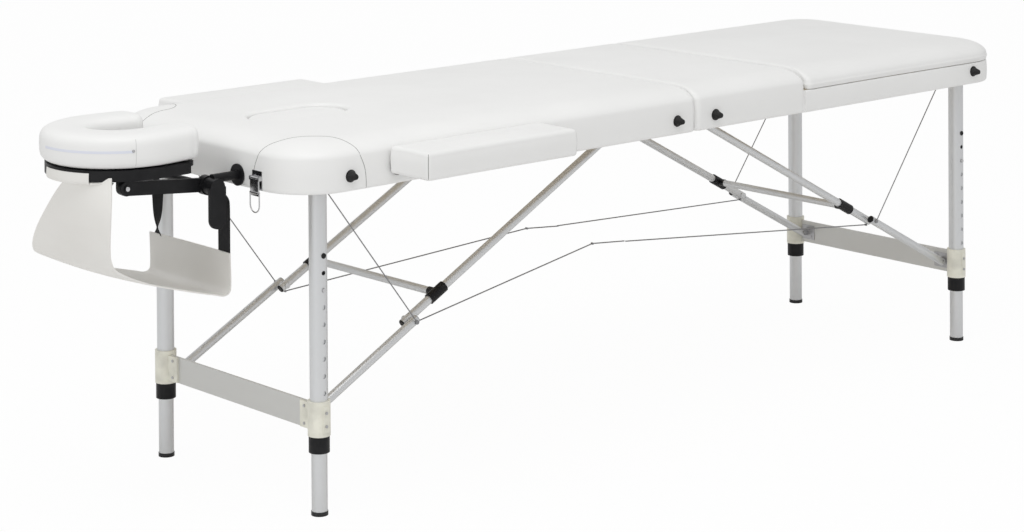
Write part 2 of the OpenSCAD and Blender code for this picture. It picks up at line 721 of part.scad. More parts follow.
module sling_straps() {
    low = sling_floor_z + lip_h - strap_w;
    top = yoke_u - hub_r - fit - strap_t;
    color(black) at_half(-1) both_sides() translate([0, strap_y + strap_w / 2, 0]) rotate([90, 0, 0])
        linear_extrude(height = strap_w) polygon([[strap_u, low], [strap_u + strap_t, low],
            [strap_u + strap_t, strap_bend_z], [top + strap_t, yoke_z], [top, yoke_z], [strap_u, strap_bend_z]]);
}

// Foot half: fixed seat, lower rail and lifting backrest
module foot_frame() { color(wood) at_half(1) half_frame(); }
module foot_deck() {
    color(wood) at_half(1) translate([0, 0, deck_z]) linear_extrude(height = deck_t) intersection() {
        half_plan(wrap_t + fit);
        translate([0, -top_w]) square([seat_len - wrap_t - fit, 2 * top_w]);
    }
}
module seat_cushion() {
    color(white) at_half(1) difference() {
        union() {
            pad(fold_gap / 2, seat_len, top_w / 2, pad_edge_r / 2, pad_edge_r / 2, under, top_z, pad_edge_r,
                [pad_end_w, pad_end_w, pad_edge_w]);
            translate([0, 0, under]) linear_extrude(height = rail_h) difference() {
                half_plan(0);
                translate([0, -top_w]) square([seat_len - pad_edge_r, 2 * top_w]);
            }
        }
        translate([0, 0, under - cut]) linear_extrude(height = rail_h + cut) half_plan(wrap_t);
        translate([0, 0, deck_z - cut]) linear_extrude(height = deck_t + cut) intersection() {
            half_plan(wrap_t);
            translate([0, -top_w]) square([seat_len - wrap_t, 2 * top_w]);
        }
        bumper_seats();
    }
}
hinge_plate_t = 1.4;
back_hinge_w = 70;
back_leaf_len = 60;
back_knuckle_r = 2.4;
// One leaf of the backrest hinges: s is -1 for the fixed leaf and 1 for the leaf of the backrest
module back_leaf(s) {
    k = back_hinge_w / 3;
    u = back_gap - hinge_plate_t - fit;
    z = deck_z - hinge_plate_t - (s < 0 ? fit : 0);
    for (t = [-1, 1]) translate([back_u, t * top_w / 4, 0]) mirror([s < 0 ? 1 : 0, 0, 0]) {
        for (i = s > 0 ? [1] : [0, 2]) difference() {
            union() {
                rod_y([0, (i - 1) * k, back_pin_z], back_knuckle_r, k - fit);
                span([0, (i - 1.5) * k + fit / 2, back_pin_z - back_knuckle_r],
                    [u + hinge_plate_t, (i - 0.5) * k - fit / 2, back_pin_z]);
            }
            rod_y([0, 0, back_pin_z], pin_r + fit / 6, back_hinge_w + cut);
        }
        span([u, -back_hinge_w / 2, z], [u + hinge_plate_t, back_hinge_w / 2, back_pin_z - back_knuckle_r / 2]);
        span([u, -back_hinge_w / 2, z], [u + back_leaf_len, back_hinge_w / 2, z + hinge_plate_t]);
    }
}
// Props that hold the raised backrest, stored flat beside the rails
back_max = 60;
prop_max = 53;
prop_run = 240;
prop_w = 14;
prop_t = 5;
prop_y = rail_in - 1.5 * prop_t - plate_t - fit;
prop_drop = 10;
peg_r = 3;
prop_u = back_u + prop_run;
prop_z = deck_z - prop_drop;
prop_below = back_pin_z - prop_z;
prop_high = back_pin_z + prop_run * sin(back_max) - prop_below * cos(back_max);
prop_len = (prop_high - deck_z - peg_r - fit) / sin(back_max + prop_max);
rack_u = back_u + prop_run * cos(back_max) + prop_below * sin(back_max) - prop_len * cos(back_max + prop_max);
module prop_racks() {
    r = prop_w / 2;
    both_sides() span([rack_u - 2 * prop_w, prop_y + prop_t, deck_z - r],
        [rack_u + 2 * prop_w, rail_in - fit, deck_z]);
}
module back_props() {
    p = [prop_u, prop_y, prop_z];
    q = [prop_u - prop_len, prop_y, prop_z];
    color(steel) at_half(1) both_sides() difference() {
        union() {
            span([q.x, q.y - prop_t / 2, q.z - prop_w / 2], [p.x, p.y + prop_t / 2, p.z + prop_w / 2]);
            rod_y(p, prop_w / 2, prop_t);
            rod_y(q, prop_w / 2, prop_t);
            translate(q) rotate([-90, 0, 0]) cylinder(h = prop_t * 1.5, r = peg_r);
        }
        rod_y(p, pin_r + fit / 6, 2 * prop_t);
    }
}
// Tabs on the backrest that carry the props
module prop_tabs() {
    y = prop_y - prop_t / 2 - fit;
    both_sides() {
        span([prop_u - prop_w, y - plate_t, prop_z - prop_w / 3], [prop_u + prop_w, y, deck_z]);
        rod_y([prop_u, prop_y - plate_t / 2, prop_z], pin_r, prop_t + 2 * plate_t);
    }
}
// Plates that carry the leg hinges of the foot half from its side rails, where no fixed deck is above them
module leg_plates() {
    w = pivot_pin_r * 2.5;
    y = rail_in - fit;
    both_sides() {
        span([leg_u - 4 * w, leg_span / 2, deck_z - plate_t], [leg_u - w, y, deck_z]);
        span([leg_u - 4 * w, y - plate_t, deck_z - 3 * w], [leg_u - w, y, deck_z]);
    }
}
module foot_brackets() {
    color(steel) at_half(1) {
        half_brackets(1);
        back_leaf(-1);
        prop_racks();
        leg_plates();
    }
}
module back_hinge() {
    color(steel) at_half(1) {
        back_leaf(1);
        for (t = [-1, 1]) rod_y([back_u, t * top_w / 4, back_pin_z], pin_r, back_hinge_w);
        prop_tabs();
    }
}
back_base = back_u + back_gap;
module back_deck() {
    color(wood) at_half(1) translate([0, 0, deck_z + fit]) linear_extrude(height = deck_t - fit) difference() {
        half_plan(pad_edge_r / 2);
        translate([0, -top_w]) square([back_base + fit, 2 * top_w]);
    }
}
module backrest_cushion() {
    color(white) at_half(1) difference() {
        pad(back_base, half_len, top_w / 2, pad_edge_r / 2, corner_r, deck_z + fit, top_z, pad_edge_r,
            [pad_end_w, pad_edge_w, pad_edge_w]);
        translate([0, 0, deck_z - cut]) linear_extrude(height = deck_t + cut) difference() {
            half_plan(pad_edge_r / 2 - fit);
            translate([0, -top_w]) square([back_base - cut, 2 * top_w]);
        }
    }
}

// Leg frame of one half
module leg_pair() {
    both_sides() translate([leg_u, leg_span / 2, 0]) children();
}
top_hole_h = button_h + 2 * hole_pitch;
tube_top = pivot_z + pivot_pin_r * 3.4;
module leg_tubes() {
    leg_pair() difference() {
        translate([0, 0, leg_end_h]) tube(leg_r, leg_r - leg_wall, tube_top - leg_end_h);
        rod_y([0, 0, pivot_z], pivot_pin_r + fit / 6, leg_d + cut);
        for (i = [0:hole_count]) translate([0, 0, top_hole_h - i * hole_pitch])
            rotate([-90, 0, 0]) cylinder(h = leg_r + cut, r = hole_d / 2);
    }
}
module collars() {
    leg_pair() translate([0, 0, leg_end_h - plate_t]) difference() {
        cylinder(h = collar_h + plate_t - fit / 3, r = leg_r + collar_wall);
        translate([0, 0, plate_t - fit / 3]) cylinder(h = collar_h + cut, r = leg_r);
        translate([0, 0, -cut]) cylinder(h = collar_h, r = inner_r + fit);
    }
    // Black plug in the uppermost hole
    leg_pair() translate([0, 0, top_hole_h]) rotate([-90, 0, 0]) {
        translate([0, 0, leg_r - leg_wall]) cylinder(h = leg_wall + plate_t / 2, r = hole_d / 2 - fit / 2);
        translate([0, 0, leg_r + fit / 3]) cylinder(h = plate_t / 2, r = hole_d * 0.6);
    }
}
// The flat bar between the clamps, its face near the leg axis on the side of the fold
bar_front = leg_u - crossbar_back;
bar_rear = bar_front + crossbar_t;
bar_y = leg_span / 2 - clamp_r - fit / 3;
clamp_lug_w = 26;
clamp_lug_t = 4;
clamp_lug_h = clamp_h * 0.76;
clamp_pad_w = 12;
module clamps() {
    y = clamp_r + clamp_lug_w;
    leg_pair() translate([0, 0, lug_z]) difference() {
        union() {
            translate([0, 0, -clamp_h / 2]) cylinder(h = clamp_h, r = clamp_r);
            translate([bar_rear - leg_u, -y, -clamp_lug_h / 2]) cube([clamp_lug_t, y - leg_r, clamp_lug_h]);
            translate([-clamp_pad_w / 2, leg_r, -clamp_lug_h / 2])
                cube([clamp_pad_w, clamp_wall + cut, clamp_lug_h]);
        }
        cylinder(h = clamp_h + 2 * cut, r = leg_r, center = true);
    }
}
module crossbar() {
    span([bar_front, -bar_y, lug_z - crossbar_h / 2], [bar_rear, bar_y, lug_z + crossbar_h / 2]);
}
lug_t = 1.5;
screw_r = 2.6;
screw_t = 1.6;
// Brace lugs with their pins, and the screws of the clamps
module lugs() {
    u = leg_u - brace_off;
    e = brace_r + ear_gap / 2;
    r = brace_pin_r * 1.8;
    y0 = lower_lane - e - lug_t;
    both_sides() {
        span([bar_front - lug_t, y0 - 2 * e, lug_z - crossbar_h / 3],
            [bar_front, lower_lane + e, lug_z + crossbar_h / 3]);
        span([u, y0, lug_z - r], [bar_front, y0 + lug_t, lug_z + r]);
        rod_y([u, y0 + lug_t / 2, lug_z], r, lug_t);
        rod_y([u, lower_lane - lug_t, lug_z], brace_pin_r, 2 * e);
        for (s = [-1, 1]) translate([bar_front - lug_t, y0 - e, lug_z + s * crossbar_h / 5]) rotate([0, -90, 0])
            cylinder(h = screw_t, r = screw_r);
    }
    for (s = [-1, 1]) leg_pair() {
        translate([bar_rear - leg_u + clamp_lug_t, -clamp_r - clamp_lug_w / 2, lug_z + s * clamp_lug_h / 3])
            rotate([0, 90, 0]) cylinder(h = screw_t, r = screw_r);
        translate([0, clamp_r + cut, lug_z + s * clamp_lug_h / 4]) rotate([-90, 0, 0])
            cylinder(h = screw_t, r = screw_r);
    }
}
module head_leg_tubes() { color(alu) at_half(-1) leg_tubes(); }
module foot_leg_tubes() { color(alu) at_half(1) leg_tubes(); }
module head_collars() { color(black) at_half(-1) collars(); }
module foot_collars() { color(black) at_half(1) collars(); }
module head_clamps() { color(beige) at_half(-1) clamps(); }
module foot_clamps() { color(beige) at_half(1) clamps(); }
module head_crossbar() { color(alu) at_half(-1) crossbar(); }
module foot_crossbar() { color(alu) at_half(1) crossbar(); }
module head_lugs() { color(steel) at_half(-1) lugs(); }
module foot_lugs() { color(steel) at_half(1) lugs(); }

// Telescoping lower tube with its foot cap and the hole for the spring button
module inner_leg(side, s) {
    at_half(side) translate([leg_u, s * leg_span / 2, 0]) {
        color(alu) difference() {
            translate([0, 0, foot_h - plate_t]) tube(inner_r, inner_r - leg_wall, inner_len - foot_h + plate_t);
            translate([0, 0, button_h]) rotate([-90 * s, 0, 0]) cylinder(h = leg_r, r = hole_d / 2);
        }
        color(black) {
            cylinder(h = foot_h - plate_t, r = inner_r + plate_t / 2);
            translate([0, 0, foot_h - plate_t]) cylinder(h = foot_h, r = inner_r - leg_wall);
        }
    }
}
module button(side, s) {
    at_half(side) color(steel) translate([leg_u, s * leg_span / 2, button_h]) rotate([-90 * s, 0, 0]) {
        translate([0, 0, inner_r - 2 * leg_wall - 2 * button_proud])
            cylinder(h = leg_r - inner_r + 2 * leg_wall + 3 * button_proud, r = hole_d / 2 - fit);
    }
}
module inner_leg_hn() { inner_leg(-1, -1); }
module inner_leg_hf() { inner_leg(-1, 1); }
module inner_leg_fn() { inner_leg(1, -1); }
module inner_leg_ff() { inner_leg(1, 1); }
module button_hn() { button(-1, -1); }
module button_hf() { button(-1, 1); }
module button_fn() { button(1, -1); }
module button_ff() { button(1, 1); }

// Upper braces with the bar between them and the knee bolts
knee_reach = 12;
knee_short = 7.5;
end_reach = 6;
washer_t = lower_lane - upper_lane - 2 * brace_r - fit;
spreader_share = 0.12;
sleeve_len = 40;
sleeve_r = brace_r + 2.4;
spreader_r = 7;
spreader_in = 10;
brace_dir = [cos(brace_angle), 0, -sin(brace_angle)];
spread_at = [knee_u, 0, knee_z] - brace_dir * upper_len * spreader_share;
module upper_braces() {
    t = [brace_top_u, upper_lane, brace_z];
    k = [knee_u, upper_lane, knee_z];
    both_sides() {
        difference() {
            rod(t - brace_dir * end_reach, k + brace_dir * knee_reach, brace_r);
            rod_y(t, brace_pin_r + fit / 6, brace_d + cut);
        }
        translate(k + [0, brace_r, 0]) rotate([-90, 0, 0]) cylinder(h = washer_t, r = brace_pin_r * 1.8);
        translate(k - [0, brace_r, 0]) rotate([90, 0, 0]) cylinder(h = plate_t, r = brace_pin_r * 1.8);
    }
    rod_y(spread_at, spreader_r, 2 * (upper_lane - sleeve_r - fit));
}
module spreader() {
    c = spread_at + [0, upper_lane, 0];
    both_sides() difference() {
        union() {
            rod(c - brace_dir * sleeve_len / 2, c + brace_dir * sleeve_len / 2, sleeve_r);
            translate(c) rotate([90, 0, 0]) cylinder(h = sleeve_r + spreader_in, r = spreader_r + cut);
        }
        rod(c - brace_dir * sleeve_len, c + brace_dir * sleeve_len, brace_r);
        translate(c - [0, brace_r, 0]) rotate([90, 0, 0])
            cylinder(h = sleeve_r + spreader_in, r = spreader_r + fit / 6);
    }
}
module lower_braces() {
    k = [knee_u, lower_lane, knee_z];
    c = [leg_u - brace_off, lower_lane, lug_z];
    both_sides() {
        difference() {
            rod(k - brace_dir * knee_short, c + brace_dir * end_reach, brace_r);
            rod_y(c, brace_pin_r + fit / 6, brace_d + cut);
        }
        translate(k + [0, brace_r, 0]) rotate([-90, 0, 0])
            cylinder(h = stay_lane - cable_r - lower_lane - brace_r - fit, r = brace_pin_r * 1.6);
    }
}
module head_upper_braces() { color(alu) at_half(-1) upper_braces(); }
module foot_upper_braces() { color(alu) at_half(1) upper_braces(); }
module head_spreader() { color(black) at_half(-1) spreader(); }
module foot_spreader() { color(black) at_half(1) spreader(); }
module head_lower_braces() { color(alu) at_half(-1) lower_braces(); }
module foot_lower_braces() { color(alu) at_half(1) lower_braces(); }

// Steel stays from the leg hinge to the knee, with an eye at each end
eye_r = 4;
module stays() {
    top = [leg_u, stay_lane, brace_z];
    low = [knee_u, stay_lane, knee_z];
    d = (low - top) / norm(low - top);
    both_sides() {
        rod(top + d * eye_r / 2, low - d * eye_r / 2, cable_r - fit / 3);
        rod_y(low, eye_r, cable_d);
        difference() {
            rod_y(top, eye_r, cable_d);
            rod_y(top, stay_pin_r + fit / 6, cable_d + cut);
        }
    }
}
module head_stays() { color(steel) at_half(-1) stays(); }
module foot_stays() { color(steel) at_half(1) stays(); }

// Long steel cable below the top, from knee to knee through the two hung junctions.
// When the case is shut it lies just under the braces.
knot_r = 2.2;
knee_tie = [knee_u, upper_lane, knee_z - (brace_r + knot_r + fit) / cos(brace_angle)];
fold_tie_drop = 8;
fold_tie_h = junction_h - fold_tie_drop;
cable_step = cable_d + cable_r;
module long_cable_head() {
    j = [junction_u, junction_y, junction_h];
    color(steel) at_half(-1) both_sides() {
        rod(knee_tie, j, cable_r);
        rod(j, [fit / 2, junction_y, fold_tie_h], cable_r);
        rod_y(j, knot_r, 2 * cable_d);
        rod_y(knee_tie, knot_r, 2 * cable_d);
    }
}
module long_cable_foot() {
    color(steel) at_half(1) both_sides() {
        rod([fit / 2, junction_y + cable_step, fold_tie_h], knee_tie, cable_r);
        rod_y(knee_tie, knot_r, 2 * cable_d);
    }
}

head_frame();
head_deck();
head_cushion();
face_plug();
head_brackets();
head_bumpers();
latch_plate();
latch_lever();
latch_bail();
rod_sockets();
armrest_near();
armrest_far();
arm_rods_near();
arm_rods_far();
cradle_posts();
cradle_arms();
cradle_lever();
cradle_plate();
face_cushion();
arm_sling();
sling_straps();
fold_pin();
foot_frame();
foot_deck();
seat_cushion();
foot_brackets();
foot_bumpers();
latch_strike();
back_deck();
backrest_cushion();
back_hinge();
back_props();
head_leg_tubes();
head_collars();
head_clamps();
head_crossbar();
head_lugs();
foot_leg_tubes();
foot_collars();
foot_clamps();
foot_crossbar();
foot_lugs();
inner_leg_hn();
inner_leg_hf();
inner_leg_fn();
inner_leg_ff();
button_hn();
button_hf();
button_fn();
button_ff();
head_upper_braces();
head_spreader();
head_lower_braces();
foot_upper_braces();
foot_spreader();
foot_lower_braces();
head_stays();
foot_stays();
long_cable_head();
long_cable_foot();
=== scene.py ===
import math
import bpy
import bmesh
import numpy as np
from mathutils import Matrix, Vector
from mathutils.bvhtree import BVHTree


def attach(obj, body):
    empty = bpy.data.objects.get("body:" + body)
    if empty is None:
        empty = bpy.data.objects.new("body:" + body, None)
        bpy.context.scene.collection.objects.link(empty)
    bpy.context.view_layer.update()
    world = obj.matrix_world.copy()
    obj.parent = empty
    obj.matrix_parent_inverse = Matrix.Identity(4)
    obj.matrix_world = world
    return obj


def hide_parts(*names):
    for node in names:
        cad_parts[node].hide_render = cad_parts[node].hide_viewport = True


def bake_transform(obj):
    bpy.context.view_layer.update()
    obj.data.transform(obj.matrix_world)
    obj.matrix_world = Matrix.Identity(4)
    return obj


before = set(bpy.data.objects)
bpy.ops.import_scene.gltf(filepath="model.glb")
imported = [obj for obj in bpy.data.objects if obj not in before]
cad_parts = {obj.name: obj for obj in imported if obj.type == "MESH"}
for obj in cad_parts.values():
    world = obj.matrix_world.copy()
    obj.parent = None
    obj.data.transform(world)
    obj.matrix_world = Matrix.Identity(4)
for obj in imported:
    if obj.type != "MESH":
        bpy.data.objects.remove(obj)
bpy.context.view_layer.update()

# Camera, found from the photo. Metres and radians in the part's frame; the frame is shifted down so that
# upright edges stay upright, as in the photo.
camera = {"x": -3.4880, "y": -3.8477, "z": 1.4619, "yaw": 0.8424, "pitch": 0.0157, "roll": -0.0061,
    "lens": 92.06, "sensor": 36.0, "rise": -0.5388, "clipEnd": 60}


def addCamera():
    cy, sy = math.cos(camera["yaw"]), math.sin(camera["yaw"])
    cp, sp = math.cos(camera["pitch"]), math.sin(camera["pitch"])
    forward = Vector((cp * cy, cp * sy, -sp))
    right = Vector((sy, -cy, 0))
    up = right.cross(forward)
    cr, sr = math.cos(camera["roll"]), math.sin(camera["roll"])
    right, up = cr * right + sr * up, cr * up - sr * right
    data = bpy.data.cameras.new("camera")
    data.lens = camera["lens"]
    data.sensor_width = camera["sensor"]
    data.shift_y = camera["rise"]
    data.clip_end = camera["clipEnd"]
    obj = bpy.data.objects.new("camera", data)
    place = (camera["x"], camera["y"], camera["z"])
    rows = [(right[i], up[i], -forward[i], place[i]) for i in range(3)]
    obj.matrix_world = Matrix(rows + [(0, 0, 0, 1)])
    bpy.context.scene.collection.objects.link(obj)
    bpy.context.scene.camera = obj


addCamera()
print("camera in place")

# Sizes that the pieces share, in millimetres: u runs from the fold towards the end of a half.
table = {"foldX": 150.0, "halfLen": 965.0, "width": 600.0, "under": 570.0, "deckTop": 620.0, "top": 656.0,
    "crown": 4.0, "wrap": 6.0, "wrapCorner": 7.0, "edge": 28.0, "sideReach": 72.0, "endReach": 12.0,
    "cornerRadius": 100.0, "smallCorner": 13.0, "foldGap": 1.0, "mm": 0.001}
head, foot = -1, 1


def toFrame(side, points):
    p = np.asarray(points, float)
    return np.stack([table["foldX"] + side * p[..., 0], p[..., 1], p[..., 2]], -1) * table["mm"]


# Mesh helpers.
def link(name, mesh):
    obj = bpy.data.objects.new(name, mesh)
    bpy.context.scene.collection.objects.link(obj)
    return obj


def meshFrom(name, points, faces, sharp=None):
    mesh = bpy.data.meshes.new(name)
    mesh.from_pydata(np.asarray(points).reshape(-1, 3).tolist(), [], faces)
    work = bmesh.new()
    work.from_mesh(mesh)
    bmesh.ops.remove_doubles(work, verts=work.verts, dist=1e-7)
    bmesh.ops.recalc_face_normals(work, faces=work.faces)
    work.to_mesh(mesh)
    work.free()
    mesh.polygons.foreach_set("use_smooth", np.ones(len(mesh.polygons), bool))
    if sharp is not None:
        mesh.set_sharp_from_angle(angle=math.radians(sharp))
    mesh.update()
    return mesh


# Faces of a grid of points whose columns close on themselves; its rows close too, or end in two caps.
def gridFaces(rows, cols, closeRows):
    r, c = np.meshgrid(np.arange(rows if closeRows else rows - 1), np.arange(cols), indexing="ij")
    nextRow, nextCol = (r + 1) % rows, (c + 1) % cols
    quads = np.stack([r * cols + c, r * cols + nextCol, nextRow * cols + nextCol, nextRow * cols + c], -1)
    faces = quads.reshape(-1, 4).tolist()
    if not closeRows:
        faces.append(list(range(cols)))
        faces.append(list(range((rows - 1) * cols, rows * cols)))
    return faces


def gridMesh(name, grid, closeRows=False, sharp=None):
    rows, cols = grid.shape[:2]
    return meshFrom(name, grid, gridFaces(rows, cols, closeRows), sharp)


# Rounded rectangle: four arcs joined by edges that are drawn in by a sine of the way along.
columns = {"corner": 14, "long": 60, "short": 40}


def outline(u0, u1, w, ra, rb, draw):
    nc, parts = columns["corner"], []
    corners = [((u1 - rb, rb - w), rb, -90), ((u1 - rb, w - rb), rb, 0), ((u0 + ra, w - ra), ra, 90),
        ((u0 + ra, ra - w), ra, 180)]
    arcs = []
    for (cx, cy), r, start in corners:
        a = np.radians(start + 90 * np.arange(nc + 1) / nc)
        arcs.append(np.stack([cx + r * np.cos(a), cy + r * np.sin(a)], -1))
    normals = [(1, 0), (0, 1), (-1, 0), (0, -1)]
    counts = [columns["short"], columns["long"], columns["short"], columns["long"]]
    for i in range(4):
        parts.append(arcs[i])
        t = np.arange(1, counts[i])[:, None] / counts[i]
        p, q = arcs[i][-1], arcs[(i + 1) % 4][0]
        parts.append(p + (q - p) * t - np.array(normals[i]) * draw * np.sin(math.pi * t))
    return np.concatenate(parts)


# Stadium around a centre, one point for each of the given directions: on the straight sides its
# reach is radius over sine, and on the round ends it follows from the circle's equation.
def stadium(centre, halfStraight, radius, angles):
    c, s = np.cos(angles), np.sin(angles)
    with np.errstate(divide="ignore", invalid="ignore"):
        flat = radius / np.abs(s)
        onSide = np.abs(flat * c) <= halfStraight
    rounded = halfStraight * np.abs(c) + np.sqrt(np.maximum(radius ** 2 - (halfStraight * s) ** 2, 0))
    reach = np.where(onSide, np.where(np.isfinite(flat), flat, 0), rounded)
    return np.stack([centre[0] + reach * c, centre[1] + reach * s], -1)


# How finely a pad is divided, the crease angle of its mesh, and the lengths of the waves in a slack cover.
padGrid = {"lipAngles": (0, 0.5, 1.0, 1.5), "wallStart": 0.06, "wallRows": 12, "bulgeSkew": 1.4,
    "edgeRows": 20, "edgeStart": 5, "topRows": 26, "leastCorner": 3, "middle": 8, "crease": 60}
slackWaves = {"long": 61, "wide": 47, "skew": 33, "skewShare": 0.6}


# Height of a pad's top: a crown that falls to the edges, with slow waves where the cover is slack.
def crownHeight(p, spec):
    low, high = spec["u0"] + spec["reach"][0], spec["u1"] - spec["reach"][1]
    x = np.clip((p[:, 0] - (low + high) / 2) / ((high - low) / 2), -1, 1)
    y = np.clip(p[:, 1] / (spec["w"] - spec["reach"][2]), -1, 1)
    phase = spec["phase"]
    crossed = np.sin(p[:, 0] / slackWaves["long"] + phase) * np.sin(p[:, 1] / slackWaves["wide"] + 2 * phase)
    waves = crossed + slackWaves["skewShare"] * np.sin((p[:, 0] + p[:, 1]) / slackWaves["skew"] + phase)
    return (spec["crown"] + spec["slack"] * waves) * (1 - x ** 2) * (1 - y ** 2)


# A pad as rings from its lower edge over the side and the rounded edge to the middle of the top.
# The rounding is a quarter of an ellipse that reaches inwards by its own amount at each end and at the sides.
def padRings(spec, inner):
    u0, u1, w, ra, rb = spec["u0"], spec["u1"], spec["w"], spec["ra"], spec["rb"]
    z0, z1, e, bulge, lip = spec["z0"], spec["z1"], spec["edge"], spec["bulge"], spec["lip"]
    least = padGrid["leastCorner"]

    def ring(share, inset, z, draw):
        i, j, k = (share * r + inset for r in spec["reach"])
        p = outline(u0 + i, u1 - j, w - k, max(ra - i, least), max(rb - j, least), draw * spec["draw"])
        return np.column_stack([p, np.broadcast_to(z, len(p))])

    rows = [ring(0, lip * (1 - math.sin(a)), z0 + lip * (1 - math.cos(a)), 1) for a in padGrid["lipAngles"]]
    for t in np.linspace(padGrid["wallStart"], 1, padGrid["wallRows"]):
        z = z0 + lip + (z1 - e - z0 - lip) * t
        rows.append(ring(0, -bulge * math.sin(math.pi * t ** padGrid["bulgeSkew"]), z, 1))
    for a in np.radians(np.linspace(padGrid["edgeStart"], 90, padGrid["edgeRows"])):
        rows.append(ring(1 - math.cos(a), 0, z1 - e + e * math.sin(a), math.cos(a)))
    outer = rows[-1]
    steps = []
    for t in np.linspace(0, 1, padGrid["topRows"])[1:]:
        p = outer[:, :2] * (1 - t) + inner * t
        steps.append(np.column_stack([p, z1 + crownHeight(p, spec)]))
    return rows + steps


def middleAngles(spec, centre):
    p = outline(spec["u0"], spec["u1"], spec["w"], spec["ra"], spec["rb"], 0)
    return np.arctan2(p[:, 1] - centre[1], p[:, 0] - centre[0])


# Rings of a pad with no hole, up to a small round in the middle of its top.
def closedRings(spec):
    centre = ((spec["u0"] + spec["u1"]) / 2, 0)
    return padRings(spec, stadium(centre, 0, padGrid["middle"], middleAngles(spec, centre)))


# Closed pad with no hole: its underside is one flat face.
def closedPad(name, side, spec):
    grid = toFrame(side, np.stack(closedRings(spec)))
    grid[..., 1] += spec.get("y", 0) * table["mm"]
    return gridMesh(name, grid, sharp=padGrid["crease"])


print("helpers ready")


# Materials.
def nodeMaterial(name, base, rough, metal=0.0, spec=0.5):
    m = bpy.data.materials.new(name)
    m.use_nodes = True
    shader = m.node_tree.nodes["Principled BSDF"]
    shader.inputs["Base Color"].default_value = (*base, 1)
    shader.inputs["Roughness"].default_value = rough
    shader.inputs["Metallic"].default_value = metal
    shader.inputs["Specular IOR Level"].default_value = spec
    return m, m.node_tree, shader


def objectCoords(tree, scale):
    nodes, links = tree.nodes, tree.links
    coords = nodes.new("ShaderNodeTexCoord")
    mapping = nodes.new("ShaderNodeMapping")
    mapping.inputs["Scale"].default_value = scale
    links.new(coords.outputs["Object"], mapping.inputs["Vector"])
    return mapping.outputs["Vector"]


def noise(tree, vector, scale, detail=3.0):
    n = tree.nodes.new("ShaderNodeTexNoise")
    n.inputs["Scale"].default_value = scale
    n.inputs["Detail"].default_value = detail
    tree.links.new(vector, n.inputs["Vector"])
    return n.outputs["Fac"]


def mapRange(tree, value, low, high, fromLow=0.3, fromHigh=0.7):
    n = tree.nodes.new("ShaderNodeMapRange")
    n.inputs["From Min"].default_value = fromLow
    n.inputs["From Max"].default_value = fromHigh
    n.inputs["To Min"].default_value = low
    n.inputs["To Max"].default_value = high
    tree.links.new(value, n.inputs["Value"])
    return n.outputs["Result"]


def colourMix(tree, factor, a, b):
    n = tree.nodes.new("ShaderNodeMix")
    n.data_type = "RGBA"
    n.inputs["A"].default_value = (*a, 1)
    n.inputs["B"].default_value = (*b, 1)
    tree.links.new(factor, n.inputs["Factor"])
    return n.outputs["Result"]


def bump(tree, shader, height, strength, distance):
    n = tree.nodes.new("ShaderNodeBump")
    n.inputs["Strength"].default_value = strength
    n.inputs["Distance"].default_value = distance
    tree.links.new(height, n.inputs["Height"])
    tree.links.new(n.outputs["Normal"], shader.inputs["Normal"])


# Soft matt cover: a fine grain in the relief, and a slow change of tone.
def leatherMaterial(name, light, dark, rough):
    m, tree, shader = nodeMaterial(name, light, rough, spec=0.35)
    vector = objectCoords(tree, (1, 1, 1))
    tree.links.new(colourMix(tree, mapRange(tree, noise(tree, vector, 5), 0, 1), light, dark),
        shader.inputs["Base Color"])
    gloss = mapRange(tree, noise(tree, vector, 14), rough - 0.06, rough + 0.06)
    tree.links.new(gloss, shader.inputs["Roughness"])
    grain = tree.nodes.new("ShaderNodeTexVoronoi")
    grain.inputs["Scale"].default_value = 620
    tree.links.new(vector, grain.inputs["Vector"])
    bump(tree, shader, grain.outputs["Distance"], 0.25, 0.0003)
    return m


# Metal drawn along one direction: thin streaks in roughness and tone.
def drawnMetal(name, base, rough, stretch, spread=0.08, metal=1.0, turn=0.0):
    m, tree, shader = nodeMaterial(name, base, rough, metal)
    vector = objectCoords(tree, (1, 1, 1))
    for attribute, value in (("Rotation", (0, math.radians(turn), 0)), ("Scale", stretch)):
        mapping = tree.nodes.new("ShaderNodeMapping")
        mapping.inputs[attribute].default_value = value
        tree.links.new(vector, mapping.inputs["Vector"])
        vector = mapping.outputs["Vector"]
    streaks = noise(tree, vector, 60, 4)
    dark = tuple(c * 0.95 for c in base)
    tree.links.new(colourMix(tree, mapRange(tree, streaks, 0, 1), dark, base), shader.inputs["Base Color"])
    tree.links.new(mapRange(tree, streaks, rough - spread, rough + spread), shader.inputs["Roughness"])
    bump(tree, shader, streaks, 0.03, 0.0002)
    return m


# Moulded plastic or rubber: a faint spark-eroded grain and slightly uneven gloss.
def mouldedMaterial(name, base, rough):
    m, tree, shader = nodeMaterial(name, base, rough, spec=0.22)
    vector = objectCoords(tree, (1, 1, 1))
    gloss = mapRange(tree, noise(tree, vector, 25), rough - 0.07, rough + 0.07)
    tree.links.new(gloss, shader.inputs["Roughness"])
    lighter = tuple(min(c * 1.25 + 0.004, 1) for c in base)
    tree.links.new(colourMix(tree, mapRange(tree, noise(tree, vector, 40), 0, 1), base, lighter),
        shader.inputs["Base Color"])
    bump(tree, shader, noise(tree, vector, 900), 0.2, 0.0003)
    return m


# Plywood: long grain of stretched noise.
def woodMaterial(name):
    m, tree, shader = nodeMaterial(name, (0.7, 0.62, 0.5), 0.6)
    vector = objectCoords(tree, (3, 40, 40))
    grain = noise(tree, vector, 5, 6)
    tree.links.new(colourMix(tree, mapRange(tree, grain, 0, 1), (0.74, 0.66, 0.53), (0.62, 0.53, 0.4)),
        shader.inputs["Base Color"])
    bump(tree, shader, grain, 0.2, 0.0006)
    return m


